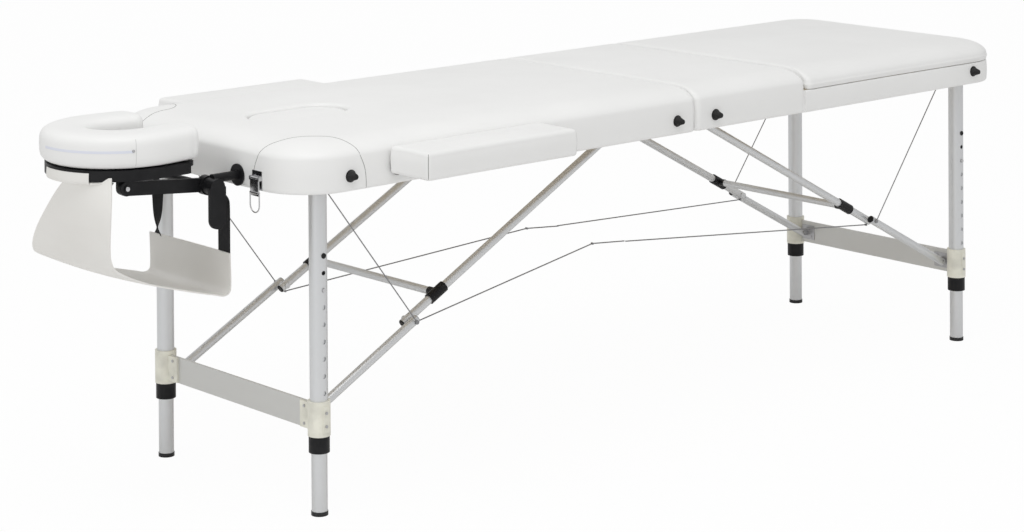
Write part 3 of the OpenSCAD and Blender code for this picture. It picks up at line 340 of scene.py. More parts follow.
# Woven band: ribs across it from a wave texture in relief and tone.
def webbingMaterial(name, base):
    m, tree, shader = nodeMaterial(name, base, 0.8, spec=0.2)
    vector = objectCoords(tree, (1, 1, 1))
    wave = tree.nodes.new("ShaderNodeTexWave")
    wave.bands_direction = "Z"
    wave.inputs["Scale"].default_value = 180
    wave.inputs["Distortion"].default_value = 0.4
    tree.links.new(vector, wave.inputs["Vector"])
    tree.links.new(colourMix(tree, wave.outputs["Fac"], base, tuple(c * 2.2 + 0.01 for c in base)),
        shader.inputs["Base Color"])
    bump(tree, shader, wave.outputs["Fac"], 0.5, 0.0005)
    return m


# Lower leg tube: drawn metal, and black plastic below the height of the foot cap.
def legMaterial(name, capTop):
    m = drawnMetal(name, looks["tube"], 0.42, (1, 1, 0.02), metal=0.8)
    tree = m.node_tree
    shader = tree.nodes["Principled BSDF"]
    coords = tree.nodes.new("ShaderNodeTexCoord")
    split = tree.nodes.new("ShaderNodeSeparateXYZ")
    tree.links.new(coords.outputs["Object"], split.inputs["Vector"])
    metal = mapRange(tree, split.outputs["Z"], 0, 1, capTop, capTop + looks["capFade"])
    old = shader.inputs["Base Color"].links[0].from_socket
    mix = tree.nodes.new("ShaderNodeMix")
    mix.data_type = "RGBA"
    mix.inputs["A"].default_value = (*looks["black"], 1)
    tree.links.new(metal, mix.inputs["Factor"])
    tree.links.new(old, mix.inputs["B"])
    tree.links.new(mix.outputs["Result"], shader.inputs["Base Color"])
    tree.links.new(metal, shader.inputs["Metallic"])
    return m


# The two seam greys are painted shade: lines that stand for the shade in the cover's seam creases, one darker
# and one paler.
looks = {"white": (0.87, 0.87, 0.86), "whiteShade": (0.84, 0.84, 0.83), "tube": (0.72, 0.73, 0.74),
    "bar": (0.68, 0.68, 0.66), "steel": (0.5, 0.5, 0.51), "black": (0.007, 0.007, 0.008),
    "beige": (0.68, 0.67, 0.59), "seam": (0.36, 0.36, 0.35), "paleSeamShade": (0.7, 0.7, 0.69),
    "braceTurn": 28.13, "capTop": 0.007, "capFade": 0.0002}
materials = {
    "upholstery": leatherMaterial("upholstery", looks["white"], looks["whiteShade"], 0.42),
    "slingInside": leatherMaterial("sling_skin", (0.84, 0.83, 0.8), (0.79, 0.775, 0.74), 0.5),
    # Seam lines of painted crease shade, in a darker and a paler grey.
    "seam": leatherMaterial("painted_seam_shade", looks["seam"], tuple(c * 0.8 for c in looks["seam"]), 0.6),
    "paleSeamShade": leatherMaterial("painted_pale_seam_shade", looks["paleSeamShade"],
        tuple(c * 0.9 for c in looks["paleSeamShade"]), 0.6),
    "tubeUp": drawnMetal("satin_tube_upright", looks["tube"], 0.42, (1, 1, 0.02), metal=0.8),
    "tubeHead": drawnMetal("satin_tube_head", looks["tube"], 0.45, (0.02, 1, 1), metal=0.7,
        turn=looks["braceTurn"]),
    "tubeFoot": drawnMetal("satin_tube_foot", looks["tube"], 0.45, (0.02, 1, 1), metal=0.7,
        turn=-looks["braceTurn"]),
    "lowerLeg": legMaterial("lower_leg", looks["capTop"]),
    "bar": drawnMetal("crossbar_matt", looks["bar"], 0.55, (1, 0.02, 1), metal=0.7),
    "steel": drawnMetal("zinc_steel", looks["steel"], 0.38, (1, 1, 1)),
    "chrome": drawnMetal("bright_steel", (0.62, 0.62, 0.63), 0.16, (1, 1, 1), 0.04),
    "cable": drawnMetal("twisted_wire", (0.3, 0.3, 0.31), 0.4, (1, 1, 1)),
    "black": mouldedMaterial("black_plastic", looks["black"], 0.38),
    "rubber": mouldedMaterial("black_rubber", (0.014, 0.014, 0.014), 0.55),
    "beige": mouldedMaterial("beige_plastic", looks["beige"], 0.42),
    "wood": woodMaterial("plywood"),
    "webbing": webbingMaterial("black_webbing", (0.012, 0.012, 0.013)),
    "zip": leatherMaterial("pale_zip", (0.76, 0.78, 0.86), (0.73, 0.75, 0.83), 0.5),
}
nodeLooks = {
    "tubeUp": ["head_leg_tubes", "foot_leg_tubes"],
    "tubeHead": ["head_upper_braces", "head_lower_braces"],
    "tubeFoot": ["foot_upper_braces", "foot_lower_braces"],
    "lowerLeg": ["inner_leg_hn", "inner_leg_hf", "inner_leg_fn", "inner_leg_ff"],
    "bar": ["head_crossbar", "foot_crossbar"],
    "steel": ["head_brackets", "foot_brackets", "head_lugs", "foot_lugs", "fold_pin", "back_hinge",
        "back_props"],
    "chrome": ["latch_plate", "latch_lever", "latch_bail", "latch_strike", "arm_rods_near", "arm_rods_far",
        "button_hn", "button_hf", "button_fn", "button_ff"],
    "cable": ["head_stays", "foot_stays", "long_cable_head", "long_cable_foot"],
    "black": ["head_collars", "foot_collars", "head_spreader", "foot_spreader", "cradle_posts", "cradle_arms",
        "cradle_lever", "cradle_plate", "rod_sockets"],
    "rubber": ["head_bumpers", "foot_bumpers"],
    "beige": ["head_clamps", "foot_clamps"],
    "wood": ["head_frame", "foot_frame", "head_deck", "foot_deck", "back_deck"],
}
for look, names in nodeLooks.items():
    for name in names:
        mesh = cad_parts[name].data
        mesh.materials.clear()
        mesh.materials.append(materials[look])
print("materials ready")


def finishPiece(obj, material, body=None):
    obj.data.materials.append(materials[material])
    if body:
        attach(obj, body)
    return obj


# Upholstered sections.
hole = {"inset": 225.0, "length": 204.0, "width": 108.0, "roll": 6.0, "plugGap": 0.8, "rollStart": 12,
    "rollRows": 7, "wallSteps": (0.3, 0.65, 1.0)}
padCommon = {"w": table["width"] / 2, "edge": table["edge"], "lip": 4.0, "draw": 2.0, "bulge": 1.2,
    "slack": 0.35, "crown": table["crown"], "z1": table["top"],
    "reach": (table["endReach"], table["sideReach"], table["sideReach"])}


def sectionPad(**changes):
    return {**padCommon, **changes}


headSpec = sectionPad(u0=table["foldGap"], u1=table["halfLen"], ra=table["smallCorner"],
    rb=table["cornerRadius"], z0=table["under"], phase=0.4)


# The head section is a closed ring: over the top, down the face hole, back under the foam and down
# inside the wrap.
def headPad():
    centre = (table["halfLen"] - hole["inset"], 0)
    angles = middleAngles(headSpec, centre)
    half, radius, r = (hole["length"] - hole["width"]) / 2, hole["width"] / 2, hole["roll"]
    rows = padRings(headSpec, stadium(centre, half, radius + r, angles))

    def topAt(p):
        return table["top"] + crownHeight(p, headSpec)

    for b in np.radians(np.linspace(hole["rollStart"], 90, hole["rollRows"])):
        p = stadium(centre, half, radius + r * (1 - math.sin(b)), angles)
        rows.append(np.column_stack([p, topAt(p) - r * (1 - math.cos(b))]))
    p = stadium(centre, half, radius, angles)
    wallTop = topAt(p) - r
    for t in hole["wallSteps"]:
        rows.append(np.column_stack([p, wallTop + (table["deckTop"] - wallTop) * t]))
    wrap, corner = table["wrap"], table["wrapCorner"]
    q = outline(headSpec["u0"] + wrap, headSpec["u1"] - wrap, headSpec["w"] - wrap, corner,
        headSpec["rb"] - wrap, 0)
    rows.append(np.column_stack([q, np.full(len(q), table["deckTop"])]))
    rows.append(np.column_stack([q, np.full(len(q), table["under"])]))
    mesh = gridMesh("head_pad", toFrame(head, np.stack(rows)), closeRows=True, sharp=padGrid["crease"])
    return link("head_pad", mesh)


headPiece = finishPiece(headPad(), "upholstery", "head_half")
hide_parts("head_cushion")

footSplit = {"seatEnd": 316.0, "backStart": 324.0, "backDrop": 4.5}
seatSpec = sectionPad(u0=table["foldGap"], u1=footSplit["seatEnd"], ra=table["smallCorner"],
    rb=table["smallCorner"], z0=table["under"], phase=1.7,
    reach=(table["endReach"], table["endReach"], table["sideReach"]))
backSpec = sectionPad(u0=footSplit["backStart"], u1=table["halfLen"], ra=table["smallCorner"],
    rb=table["cornerRadius"], z0=table["deckTop"] - footSplit["backDrop"], phase=2.6, lip=3.0)
# Padded wrap of the foot half's rail behind the seat, and how the seat's skirt ends at the backrest.
wrapBand = {"thick": 6.0, "lip": 3.0, "low": 570.0, "high": 614.6, "puff": 1.0, "start": 316.2, "skirt": 10.0,
    "startCorner": 3, "puffRows": 9}


# The seat's cover hangs over the rails like the head section's, but not across the backrest end.
def seatPad():
    wrap, corner, w, skirt = wrapBand["thick"], table["wrapCorner"], seatSpec["w"], wrapBand["skirt"]
    q = outline(seatSpec["u0"] + wrap, seatSpec["u1"] - wrap, w - wrap, corner, corner, 0)
    rows = [np.column_stack([q, np.full(len(q), z)]) for z in (table["deckTop"], table["under"])]
    grid = np.stack(rows + closedRings(seatSpec))
    across = (grid[..., 0] > seatSpec["u1"] - skirt) & (np.abs(grid[..., 1]) < w - skirt)
    grid[..., 2] = np.where(across, np.maximum(grid[..., 2], wrapBand["high"]), grid[..., 2])
    return gridMesh("seat_top", toFrame(foot, grid), sharp=padGrid["crease"])


# A band round three sides of the rail, as sections of rounded lips set along the outline.
def footWrap():
    u1, w, lip = table["halfLen"], table["width"] / 2, wrapBand["lip"]
    low, high = wrapBand["low"], wrapBand["high"]
    section = [(lip * (1 - math.sin(a)), low + lip * (1 - math.cos(a))) for a in np.radians((0, 30, 60, 90))]
    section += [(-wrapBand["puff"] * math.sin(math.pi * t), low + lip + (high - low - 2 * lip) * t)
        for t in np.linspace(0.1, 0.9, wrapBand["puffRows"])]
    section += [(lip * (1 - math.sin(a)), high - lip * (1 - math.cos(a)))
        for a in np.radians((90, 60, 30, 0))]
    section += [(wrapBand["thick"], high), (wrapBand["thick"], low)]
    nc, last = columns["corner"] + 1, columns["long"]
    kept = 2 * nc + columns["short"] - 1 + columns["long"]
    rows = []
    corner = wrapBand["startCorner"]
    for inset, z in section:
        p = outline(wrapBand["start"] - corner, u1 - inset, w - inset, corner,
            table["cornerRadius"] - inset, 0)
        p = np.concatenate([p[-last:], p[:kept]])
        rows.append(np.column_stack([p, np.full(len(p), z)]))
    return gridMesh("foot_wrap", toFrame(foot, np.stack(rows, axis=1)), sharp=padGrid["crease"])


# Strip of cover behind the gap between the seat's skirt and the band, so that no wood shows there.
seamBack = {"u0": 302.0, "u1": 322.0, "outer": 298.2, "inner": 295.0, "short": 0.4, "crease": 30}


def seamStrip(sideY):
    u0, u1, inner, outer = seamBack["u0"], seamBack["u1"], seamBack["inner"], seamBack["outer"]
    rows = []
    for z in (wrapBand["low"] + seamBack["short"], wrapBand["high"] - seamBack["short"]):
        rows.append([(u, sideY * y, z) for u, y in ((u0, inner), (u1, inner), (u1, outer), (u0, outer))])
    return gridMesh("seam_strip", toFrame(foot, np.array(rows)), sharp=seamBack["crease"])


# Joins several meshes of one piece.
def joined(name, meshes):
    work = bmesh.new()
    for mesh in meshes:
        work.from_mesh(mesh)
    out = bpy.data.meshes.new(name)
    work.to_mesh(out)
    work.free()
    for mesh in meshes:
        bpy.data.meshes.remove(mesh)
    return out


seatMesh = joined("seat_pad", [seatPad(), footWrap(), seamStrip(-1), seamStrip(1)])
seatPiece = finishPiece(link("seat_pad", seatMesh), "upholstery", "foot_half")
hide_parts("seat_cushion")
backMesh = closedPad("backrest_pad", foot, backSpec)
backPiece = finishPiece(link("backrest_pad", backMesh), "upholstery", "backrest")
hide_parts("backrest_cushion")

# Plug of the face hole: a stadium pad with a small rounding, from the deck to flush with the top.
plugLook = {"edge": 7.0, "drop": 1.5, "dome": 1.5, "chamfer": 2, "foot": 4.5, "step": 2.5, "least": 3,
    "domeSteps": (0.2, 0.4, 0.6, 0.8, 0.97)}


def plugPad():
    centre = (table["halfLen"] - hole["inset"], 0)
    angles = np.radians(np.arange(0, 360, plugLook["step"]))
    gap, e, chamfer, deck = hole["plugGap"], plugLook["edge"], plugLook["chamfer"], table["deckTop"]
    half, radius = (hole["length"] - hole["width"]) / 2, hole["width"] / 2 - gap
    top = table["top"] - plugLook["drop"]
    rows = [(radius - chamfer, deck - plugLook["foot"]), (radius, deck - chamfer)]
    rows += [(radius, z) for z in np.linspace(deck, top - e, 5)]
    for a in np.radians(np.linspace(hole["rollStart"], 90, hole["rollRows"])):
        rows.append((radius - e * (1 - math.cos(a)), top - e + e * math.sin(a)))
    for t in plugLook["domeSteps"]:
        rows.append(((radius - e) * (1 - t), top + plugLook["dome"] * (1 - (1 - t) ** 2)))
    grid = []
    for r, z in rows:
        r = max(r, plugLook["least"])
        grid.append(np.column_stack([stadium(centre, half * r / radius, r, angles), np.full(len(angles), z)]))
    return link("plug_pad", gridMesh("plug_pad", toFrame(head, np.stack(grid)), sharp=padGrid["crease"]))


plugPiece = finishPiece(plugPad(), "upholstery", "plug")
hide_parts("face_plug")
print("sections ready")

# Armrests.
armrest = {"start": 420.0, "length": 350.0, "width": 104.0, "low": 591.0, "high": 644.0, "inner": 306.0,
    "edge": 8.0, "corner": 5.0, "crown": 4.0}


def armPad(name, sideY):
    half, edge, crown = armrest["width"] / 2, armrest["edge"], armrest["crown"]
    spec = sectionPad(u0=armrest["start"], u1=armrest["start"] + armrest["length"], w=half,
        ra=armrest["corner"], rb=armrest["corner"], z0=armrest["low"], z1=armrest["high"] - crown, edge=edge,
        reach=(edge, edge, edge), lip=5.0, draw=1.6, crown=crown, slack=0.25, phase=0.9 + sideY,
        y=sideY * (armrest["inner"] + half))
    return finishPiece(link(name, closedPad(name, head, spec)), "upholstery")


for sideY, word in ((-1, "near"), (1, "far")):
    piece = armPad("armrest_pad_" + word, sideY)
    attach(piece, word + "_armrest")
    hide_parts("armrest_" + word)
print("armrests ready")

# Face cushion.
faceRing = {"mid": 1129.0, "path": 92.0, "back": 1037.0, "legY": 85.0, "width": 88.0, "low": 624.4,
    "height": 60.0, "square": 0.55, "round": 26.0, "blunt": 2.6, "tip": 0.12, "endRows": 12, "legRows": 8,
    "arcRows": 60, "sides": 48, "endHeight": 0.7, "heightGain": 0.3}


# The ring is a squared oval section swept along a horseshoe; its free ends shrink like a quarter circle.
def facePath():
    legLen = faceRing["mid"] - faceRing["back"]
    blunt = faceRing["blunt"]
    stations = []
    for k in np.linspace(0, 1, faceRing["endRows"], endpoint=False):
        scale = max((1 - (1 - k) ** blunt) ** (1 / blunt), faceRing["tip"])
        stations.append((faceRing["back"] + k * faceRing["round"], faceRing["legY"], 90, scale))
    for t in np.linspace(faceRing["round"] / legLen, 1, faceRing["legRows"], endpoint=False):
        y = faceRing["legY"] + (faceRing["path"] - faceRing["legY"]) * t ** 2 * (3 - 2 * t)
        stations.append((faceRing["back"] + t * legLen, y, 90, 1))
    mirror = [(u, -y, -90, s) for u, y, _, s in reversed(stations)]
    for a in np.linspace(90, -90, faceRing["arcRows"] + 1):
        stations.append((faceRing["mid"] + faceRing["path"] * math.cos(math.radians(a)),
            faceRing["path"] * math.sin(math.radians(a)), a, 1))
    return stations + mirror


def faceSection(scale):
    a = np.linspace(0, 2 * math.pi, faceRing["sides"], endpoint=False)
    power = faceRing["square"]
    x = np.sign(np.cos(a)) * np.abs(np.cos(a)) ** power * faceRing["width"] / 2 * scale
    share = faceRing["endHeight"] + faceRing["heightGain"] * scale
    z = np.sign(np.sin(a)) * np.abs(np.sin(a)) ** power * faceRing["height"] / 2 * share
    return x, z


def faceGrid():
    mid = faceRing["low"] + faceRing["height"] / 2
    rows = []
    for u, y, turn, scale in facePath():
        x, z = faceSection(scale)
        c, s = math.cos(math.radians(turn)), math.sin(math.radians(turn))
        rows.append(np.stack([u + x * c, y + x * s, mid + z], -1))
    return np.stack(rows)


faceMesh = gridMesh("face_pad", toFrame(head, faceGrid()))
facePiece = finishPiece(link("face_pad", faceMesh), "upholstery", "face_pad")
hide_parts("face_cushion")
print("face cushion ready")


# Seams and zip. A seam is a thin tube along a line of points, grey to paint the shade of the seam's crease on
# the white cover.
def lineTube(name, points, radius):
    p = np.asarray(points, float)
    tangent = np.gradient(p, axis=0)
    tangent /= np.linalg.norm(tangent, axis=1)[:, None]
    side = np.cross(tangent, np.array([0.0, 0.0, 1.0]))
    weak = np.linalg.norm(side, axis=1) < 0.2
    side[weak] = np.cross(tangent[weak], np.array([0.0, 1.0, 0.0]))
    side /= np.linalg.norm(side, axis=1)[:, None]
    for i in range(1, len(side)):
        if np.dot(side[i], side[i - 1]) < 0:
            side[i] = -side[i]
    up = np.cross(side, tangent)
    a = np.linspace(0, 2 * math.pi, seams["sides"], endpoint=False)
    ring = np.cos(a)[None, :, None] * side[:, None, :] + np.sin(a)[None, :, None] * up[:, None, :]
    return gridMesh(name, p[:, None, :] + radius * ring)


# Smooth curve through the given points, with its own points at even steps.
def smoothLine(points, count):
    p = np.asarray(points, float)
    d = np.concatenate([[0], np.cumsum(np.linalg.norm(np.diff(p, axis=0), axis=1))])
    t = np.linspace(0, d[-1], count)
    out = np.empty((count, 3))
    ext = np.vstack([2 * p[0] - p[1], p, 2 * p[-1] - p[-2]])
    for n, x in enumerate(t):
        i = min(np.searchsorted(d, x, side="right") - 1, len(p) - 2)
        f = (x - d[i]) / (d[i + 1] - d[i])
        a, b, c, e = ext[i], ext[i + 1], ext[i + 2], ext[i + 3]
        square = (2 * a - 5 * b + 4 * c - e) * f ** 2
        cube = (3 * b - a - 3 * c + e) * f ** 3
        out[n] = 0.5 * (2 * b + (c - a) * f + square + cube)
    return out


def surfaceOf(obj):
    return BVHTree.FromPolygons([tuple(v.co) for v in obj.data.vertices],
        [tuple(f.vertices) for f in obj.data.polygons])


# Puts a line on the surface of a piece, sunk by a part of a millimetre.
def onSurface(tree, points, sink):
    out = []
    for p in points:
        place, normal, _, _ = tree.find_nearest(Vector(p))
        out.append(tuple(place - normal * sink))
    return np.array(out)


seams = {"radius": 0.0009, "sink": 0.0004, "rows": 90, "sides": 6,
    "gusset": [(967, 168, 571), (967, 170, 590), (966, 176, 612), (958, 185, 632), (940, 190, 645),
        (921, 196, 651), (890, 200, 655), (872, 208, 655), (852, 228, 652), (843, 250, 647), (837, 275, 640),
        (830, 297, 627), (823, 301, 610), (819, 301, 590), (818, 301, 571)]}
# The gusset seams are dark grey lines of painted shade where the cover creases at the seam.
headTree = surfaceOf(headPiece)
for sideY, word in ((-1, "near"), (1, "far")):
    line = smoothLine(toFrame(head, [(u, sideY * y, z) for u, y, z in seams["gusset"]]), seams["rows"])
    mesh = lineTube("gusset_seam_" + word, onSurface(headTree, line, seams["sink"]), seams["radius"])
    finishPiece(link("gusset_seam_" + word, mesh), "seam", "head_half")
print("seams ready")

# Vertical seams at the outer corners of the near armrest, as lines of painted crease shade: darker at one
# corner and paler at the other, by how the light falls.
armSeam = {"inset": 1, "low": 3, "high": 4, "rows": 14, "sink": 0.0003, "radius": 0.0008}
armTree = surfaceOf(bpy.data.objects["armrest_pad_near"])
for word, u, look in (("dark", armrest["start"] + armrest["length"] - armSeam["inset"], "seam"),
    ("pale", armrest["start"] + armSeam["inset"], "paleSeamShade")):
    y = -armrest["inner"] - armrest["width"] + armSeam["inset"]
    heights = np.linspace(armrest["low"] + armSeam["low"], armrest["high"] - armSeam["high"], armSeam["rows"])
    line = toFrame(head, [(u, y, z) for z in heights])
    mesh = lineTube("armrest_seam_" + word, onSurface(armTree, line, armSeam["sink"]), armSeam["radius"])
    finishPiece(link("armrest_seam_" + word, mesh), look, "near_armrest")

# Zip and its seam on the side of the face cushion. The zip's band stands proud of the cover by a little.
zipLook = {"from": 8.0, "to": -67.5, "z": 657.0, "half": 2.2, "reach": 136.0, "rows": 80, "proud": 0.0004,
    "depth": 0.0006, "shares": (-1, -0.4, 0.4, 1), "seamAngle": -69.6, "seamLow": 628.0, "seamHigh": 681.0,
    "seamRows": 24, "seamSink": 0.0003, "seamRadius": 0.0007}
faceTree = surfaceOf(facePiece)


def aroundFace(angle, z, reach=zipLook["reach"]):
    a = math.radians(angle)
    return (faceRing["mid"] + reach * math.cos(a), reach * math.sin(a), z)


def zipBand():
    heights = [zipLook["z"] + zipLook["half"] * share for share in zipLook["shares"]]
    rows = []
    for angle in np.linspace(zipLook["from"], zipLook["to"], zipLook["rows"]):
        rows.append(toFrame(head, [aroundFace(angle, z) for z in heights]))
    grid = np.array([onSurface(faceTree, row, -zipLook["proud"]) for row in rows])
    inner = np.array([onSurface(faceTree, row, zipLook["depth"]) for row in rows])
    return gridMesh("cushion_zip", np.concatenate([grid, inner[:, ::-1]], axis=1), sharp=40)


finishPiece(link("cushion_zip", zipBand()), "zip", "face_pad")
# The cushion's seam is a pale grey line of painted crease shade.
heights = np.linspace(zipLook["seamLow"], zipLook["seamHigh"], zipLook["seamRows"])
seamLine = toFrame(head, [aroundFace(zipLook["seamAngle"], z) for z in heights])
seamMesh = lineTube("cushion_seam", onSurface(faceTree, seamLine, zipLook["seamSink"]), zipLook["seamRadius"])
finishPiece(link("cushion_seam", seamMesh), "paleSeamShade", "face_pad")


# Small round parts: a dome turned about an axis through a place, as rings of shrinking radius and rising
# height, both given as shares.
dome = {"sides": 24, "crease": 50,
    "rings": ((1.0, 0.0), (1.0, 0.45), (0.93, 0.75), (0.75, 0.93), (0.45, 1.0), (0.08, 1.0))}


def domeMesh(name, place, axis, radius, thick):
    axis = np.array(axis, float) / np.linalg.norm(axis)
    side = np.cross(axis, (0.0, 0.0, 1.0)) if abs(axis[2]) < 0.9 else np.cross(axis, (1.0, 0.0, 0.0))
    side /= np.linalg.norm(side)
    up = np.cross(axis, side)
    a = np.linspace(0, 2 * math.pi, dome["sides"], endpoint=False)
    around = np.cos(a)[:, None] * side + np.sin(a)[:, None] * up
    rows = [np.array(place) + axis * thick * height + radius * share * around
        for share, height in dome["rings"]]
    return gridMesh(name, np.stack(rows) * table["mm"], sharp=dome["crease"])


def framePoint(side, u, y, z):
    return tuple(toFrame(side, (u, y, z)) / table["mm"])


puller = {"lift": 1, "reach": 135.6, "axis": (-0.2, -1, 0), "radius": 2.6, "thick": 2.2}
pullPlace = framePoint(head, *aroundFace(zipLook["to"], zipLook["z"] + puller["lift"], puller["reach"]))
pullMesh = domeMesh("zip_puller", pullPlace, puller["axis"], puller["radius"], puller["thick"])
finishPiece(link("zip_puller", pullMesh), "steel", "face_pad")
rivet = {"u": 1184.0, "y": 112.3, "z": 592.0, "radius": 4.2, "thick": 1.6}
for sideY, word in ((-1, "near"), (1, "far")):
    place = framePoint(head, rivet["u"], sideY * rivet["y"], rivet["z"])
    mesh = domeMesh("cradle_rivet_" + word, place, (0, sideY, 0), rivet["radius"], rivet["thick"])
    finishPiece(link("cradle_rivet_" + word, mesh), "chrome", "cradle_top")

# Black plugs in the open ends of the brace tubes at the knees.
brace = {"kneeU": 634.31, "kneeZ": 290.67, "angle": 28.126, "upperLane": 184.0, "lowerLane": 203.0,
    "upperEnd": 12.0, "lowerEnd": 7.5, "radius": 7.4, "thick": 2.0}
for side, half in ((head, "head"), (foot, "foot")):
    for sideY, word in ((-1, "near"), (1, "far")):
        for lane, end, way, body in ((brace["upperLane"], brace["upperEnd"], 1, "upper"),
            (brace["lowerLane"], brace["lowerEnd"], -1, "lower")):
            a = math.radians(brace["angle"])
            u = brace["kneeU"] + way * end * math.cos(a)
            z = brace["kneeZ"] - way * end * math.sin(a)
            axis = (side * way * math.cos(a), 0, -way * math.sin(a))
            name = "brace_cap_" + "_".join((half, word, body))
            mesh = domeMesh(name, framePoint(side, u, sideY * lane, z), axis, brace["radius"], brace["thick"])
            finishPiece(link(name, mesh), "black", half + "_" + body)
print("small parts ready")

# Arm sling: near and far edge of the sheet as points in millimetres. It hangs from the platform's front,
# drawn in on the far side, runs back along its floor and turns up to the lip. The floor sags, and the front
# and the lip bow, each growing over its own fade from where it starts.
sling = {"thick": 2.4, "sagFront": 5.0, "sagBack": 3.0, "bow": 5.0, "rows": 110, "cols": 36, "crease": 50,
    "floorTop": 486, "floorFade": 20, "back": 985, "backFade": 30, "floorLen": 230, "frontLow": 470,
    "frontFade": 60, "frontFrom": 1100, "lipBow": 0.6, "lipLow": 395, "lipFade": 50, "lipTo": 1000,
    "lengthSteps": 200,
    "near": [(1208, -100, 612), (1219, -116, 580), (1226, -124, 545), (1228, -124, 500), (1225, -124, 474),
        (1210, -124, 455), (1151, -124, 427), (1064, -124, 400), (1015, -124, 387), (996, -124, 382),
        (984, -124, 386), (981, -124, 402), (982.3, -124, 454)],
    "far": [(1250, -16, 603), (1245, 16, 580), (1238, 58, 545), (1232, 103, 500), (1229, 120, 466),
        (1212, 124, 449), (1151, 124, 425), (1064, 124, 400), (1015, 124, 387), (996, 124, 382),
        (984, 124, 386), (981, 124, 402), (982.3, 124, 454)]}


def slingMesh():
    rows, cols = sling["rows"], sling["cols"]
    near, far = smoothLine(sling["near"], rows), smoothLine(sling["far"], rows)
    s = np.linspace(0, 1, cols)[None, :, None]
    grid = near[:, None, :] * (1 - s) + far[:, None, :] * s
    arch = np.sin(math.pi * s[..., 0])
    u, z = grid[..., 0], grid[..., 2]

    def grown(distance, fade):
        return np.clip(distance / fade, 0, 1)

    fromBack = u - sling["back"]
    floorShare = grown(sling["floorTop"] - z, sling["floorFade"]) * grown(fromBack, sling["backFade"])
    sag = sling["sagBack"] + (sling["sagFront"] - sling["sagBack"]) * grown(fromBack, sling["floorLen"])
    grid[..., 2] -= arch * floorShare * sag
    front = grown(z - sling["frontLow"], sling["frontFade"]) * (u > sling["frontFrom"])
    grid[..., 0] += sling["bow"] * arch * front
    lip = grown(z - sling["lipLow"], sling["lipFade"]) * (u < sling["lipTo"])
    grid[..., 0] -= sling["bow"] * sling["lipBow"] * arch * lip
    along = np.gradient(grid, axis=0)
    across = np.gradient(grid, axis=1)
    normal = np.cross(along, across)
    normal /= np.linalg.norm(normal, axis=2)[..., None]
    inner = grid + normal * sling["thick"] * 0.5
    outer = grid - normal * sling["thick"] * 0.5
    skin = np.concatenate([outer, inner[:, ::-1]], axis=1)
    return gridMesh("sling_skin", toFrame(head, skin), sharp=sling["crease"])


slingPiece = link("sling_skin", slingMesh())
slingSteps = np.diff(smoothLine(sling["near"], sling["lengthSteps"]), axis=0)
finishPiece(slingPiece, "slingInside")
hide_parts("arm_sling")
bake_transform(slingPiece)

# Pale loops that carry the sheet round the platform's rim: sections of radius and height, set around its
# centre. The side loop keeps fewer points of the section.
slingLoops = {"front": (-34.0, 14.0), "side": (-52.0, -34.5), "thick": 1.3, "rows": 36, "turns": 16,
    "crease": 50, "kept": {"front": 6, "side": 4},
    "section": [(100, 598.6), (114, 599), (124, 600), (128.4, 603), (129.4, 609), (128.8, 620)]}


def loopMesh(name, start, end, kept):
    line = smoothLine([(r, 0, z) for r, z in slingLoops["section"][:kept]], slingLoops["rows"])
    rows = []
    for angle in np.radians(np.linspace(start, end, slingLoops["turns"])):
        u = faceRing["mid"] + line[:, 0] * math.cos(angle)
        rows.append(np.stack([u, line[:, 0] * math.sin(angle), line[:, 2]], -1))
    grid = np.stack(rows, axis=1)
    normal = np.cross(np.gradient(grid, axis=0), np.gradient(grid, axis=1))
    normal /= np.linalg.norm(normal, axis=2)[..., None]
    half = normal * slingLoops["thick"] / 2
    loop = np.concatenate([grid - half, (grid + half)[:, ::-1]], axis=1)
    return gridMesh(name, toFrame(head, loop), sharp=slingLoops["crease"])


for word in ("front", "side"):
    mesh = loopMesh("sling_loop_" + word, *slingLoops[word], slingLoops["kept"][word])
    finishPiece(link("sling_loop_" + word, mesh), "slingInside", "cradle_top")
print("sling ready")

# Webbing straps from the hubs of the arms down to the lip; the far one is twisted.
strapLook = {"width": 34.0, "thick": 1.6, "y": 102.8, "rows": 48, "crease": 40, "twistStart": 0.25,
    "twistLen": 0.6, "pinch": 0.45, "tipStart": 0.9, "tipLen": 0.1, "tipLeast": 0.05,
    "line": [(1002.9, 577), (992, 562), (982, 549), (979.4, 535), (979.3, 480), (979.3, 421)]}


def strapMesh(name, sideY, twist):
    line = smoothLine([(u, 0, z) for u, z in strapLook["line"]], strapLook["rows"])
    t = np.linspace(0, 1, len(line))
    turn = twist * math.pi * np.clip((t - strapLook["twistStart"]) / strapLook["twistLen"], 0, 1)
    tip = np.clip((t - strapLook["tipStart"]) / strapLook["tipLen"], 0, 1)
    rounded = np.sqrt(np.clip(1 - tip ** 2, strapLook["tipLeast"], 1))
    w = strapLook["width"] / 2 * rounded * (1 - strapLook["pinch"] * twist * np.sin(math.pi * t) ** 2)
    k = strapLook["thick"] / 2
    grid = np.empty((len(line), 4, 3))
    for i, (a, b) in enumerate(((-w, -k), (w, -k), (w, k), (-w, k))):
        grid[:, i, 0] = line[:, 0] + b * np.cos(turn) + a * np.sin(turn)
        grid[:, i, 1] = sideY * strapLook["y"] + a * np.cos(turn) - b * np.sin(turn)
        grid[:, i, 2] = line[:, 2]
    return gridMesh(name, toFrame(head, grid), sharp=strapLook["crease"])


for sideY, word, twist in ((-1, "near", 0.0), (1, "far", 1.0)):
    mesh = strapMesh("sling_strap_" + word, sideY, twist)
    finishPiece(link("sling_strap_" + word, mesh), "webbing", "cradle_frame")
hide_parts("sling_straps")
print("straps ready")

# Stage and light.
stage = {"floorSize": 40.0, "floor": (0.9, 0.9, 0.9), "floorRough": 0.9, "world": 0.7, "white": 0.96}
lamps = {"key": {"place": (-1.5, -1.0, 4.2), "target": (0.1, 0, 0.6), "size": 3.0, "power": 58.0},
    "fill": {"place": (-4.5, -2.0, 1.6), "target": (0, 0, 0.4), "size": 2.5, "power": 10.0}}


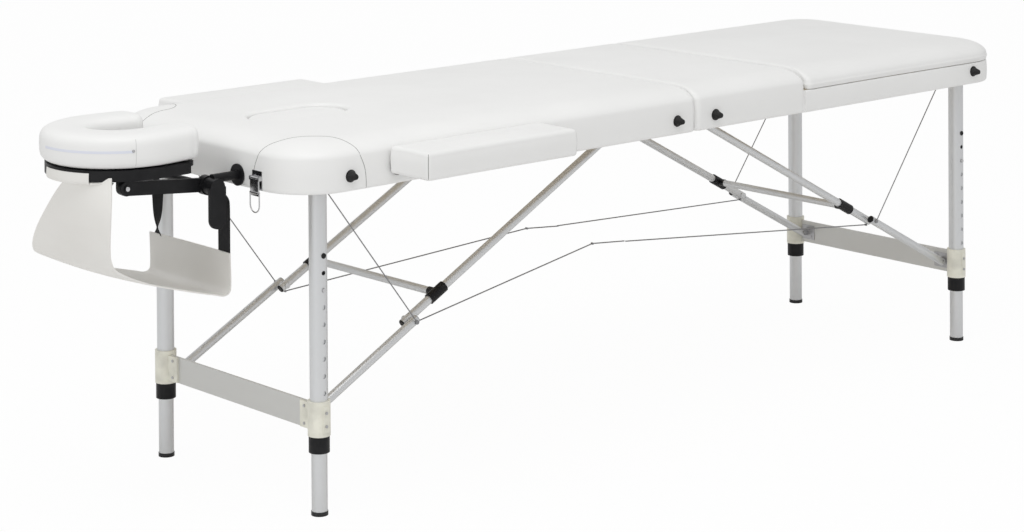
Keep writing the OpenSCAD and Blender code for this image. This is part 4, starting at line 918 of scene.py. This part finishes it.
def addFloor():
    s = stage["floorSize"] / 2
    mesh = meshFrom("floor", [(-s, -s, 0), (s, -s, 0), (s, s, 0), (-s, s, 0)], [[0, 1, 2, 3]])
    obj = link("floor", mesh)
    m, tree, shader = nodeMaterial("floor_white", stage["floor"], stage["floorRough"], spec=0.0)
    glow = tree.nodes.new("ShaderNodeEmission")
    glow.inputs["Color"].default_value = (1, 1, 1, 1)
    path = tree.nodes.new("ShaderNodeLightPath")
    share = tree.nodes.new("ShaderNodeMath")
    share.operation = "MULTIPLY"
    share.inputs[1].default_value = stage["white"]
    mix = tree.nodes.new("ShaderNodeMixShader")
    tree.links.new(path.outputs["Is Camera Ray"], share.inputs[0])
    tree.links.new(share.outputs[0], mix.inputs[0])
    tree.links.new(shader.outputs[0], mix.inputs[1])
    tree.links.new(glow.outputs[0], mix.inputs[2])
    tree.links.new(mix.outputs[0], tree.nodes["Material Output"].inputs["Surface"])
    obj.data.materials.append(m)


def addWorld():
    world = bpy.data.worlds.new("world")
    bpy.context.scene.world = world
    world.use_nodes = True
    tree = world.node_tree
    light = tree.nodes["Background"]
    light.inputs["Color"].default_value = (1, 1, 1, 1)
    light.inputs["Strength"].default_value = stage["world"]
    seen = tree.nodes.new("ShaderNodeBackground")
    seen.inputs["Color"].default_value = (1, 1, 1, 1)
    seen.inputs["Strength"].default_value = 1.0
    path = tree.nodes.new("ShaderNodeLightPath")
    mix = tree.nodes.new("ShaderNodeMixShader")
    tree.links.new(path.outputs["Is Camera Ray"], mix.inputs[0])
    tree.links.new(light.outputs[0], mix.inputs[1])
    tree.links.new(seen.outputs[0], mix.inputs[2])
    tree.links.new(mix.outputs[0], tree.nodes["World Output"].inputs["Surface"])


def addArea(name, place, target, size, power):
    data = bpy.data.lights.new(name, "AREA")
    data.shape = "SQUARE"
    data.size = size
    data.energy = power
    obj = bpy.data.objects.new(name, data)
    obj.location = place
    obj.rotation_euler = (Vector(target) - Vector(place)).to_track_quat("-Z", "Y").to_euler()
    bpy.context.scene.collection.objects.link(obj)


addFloor()
addWorld()
for name, lamp in lamps.items():
    addArea(name, **lamp)
bpy.context.scene.view_settings.view_transform = "Standard"
print("stage ready")
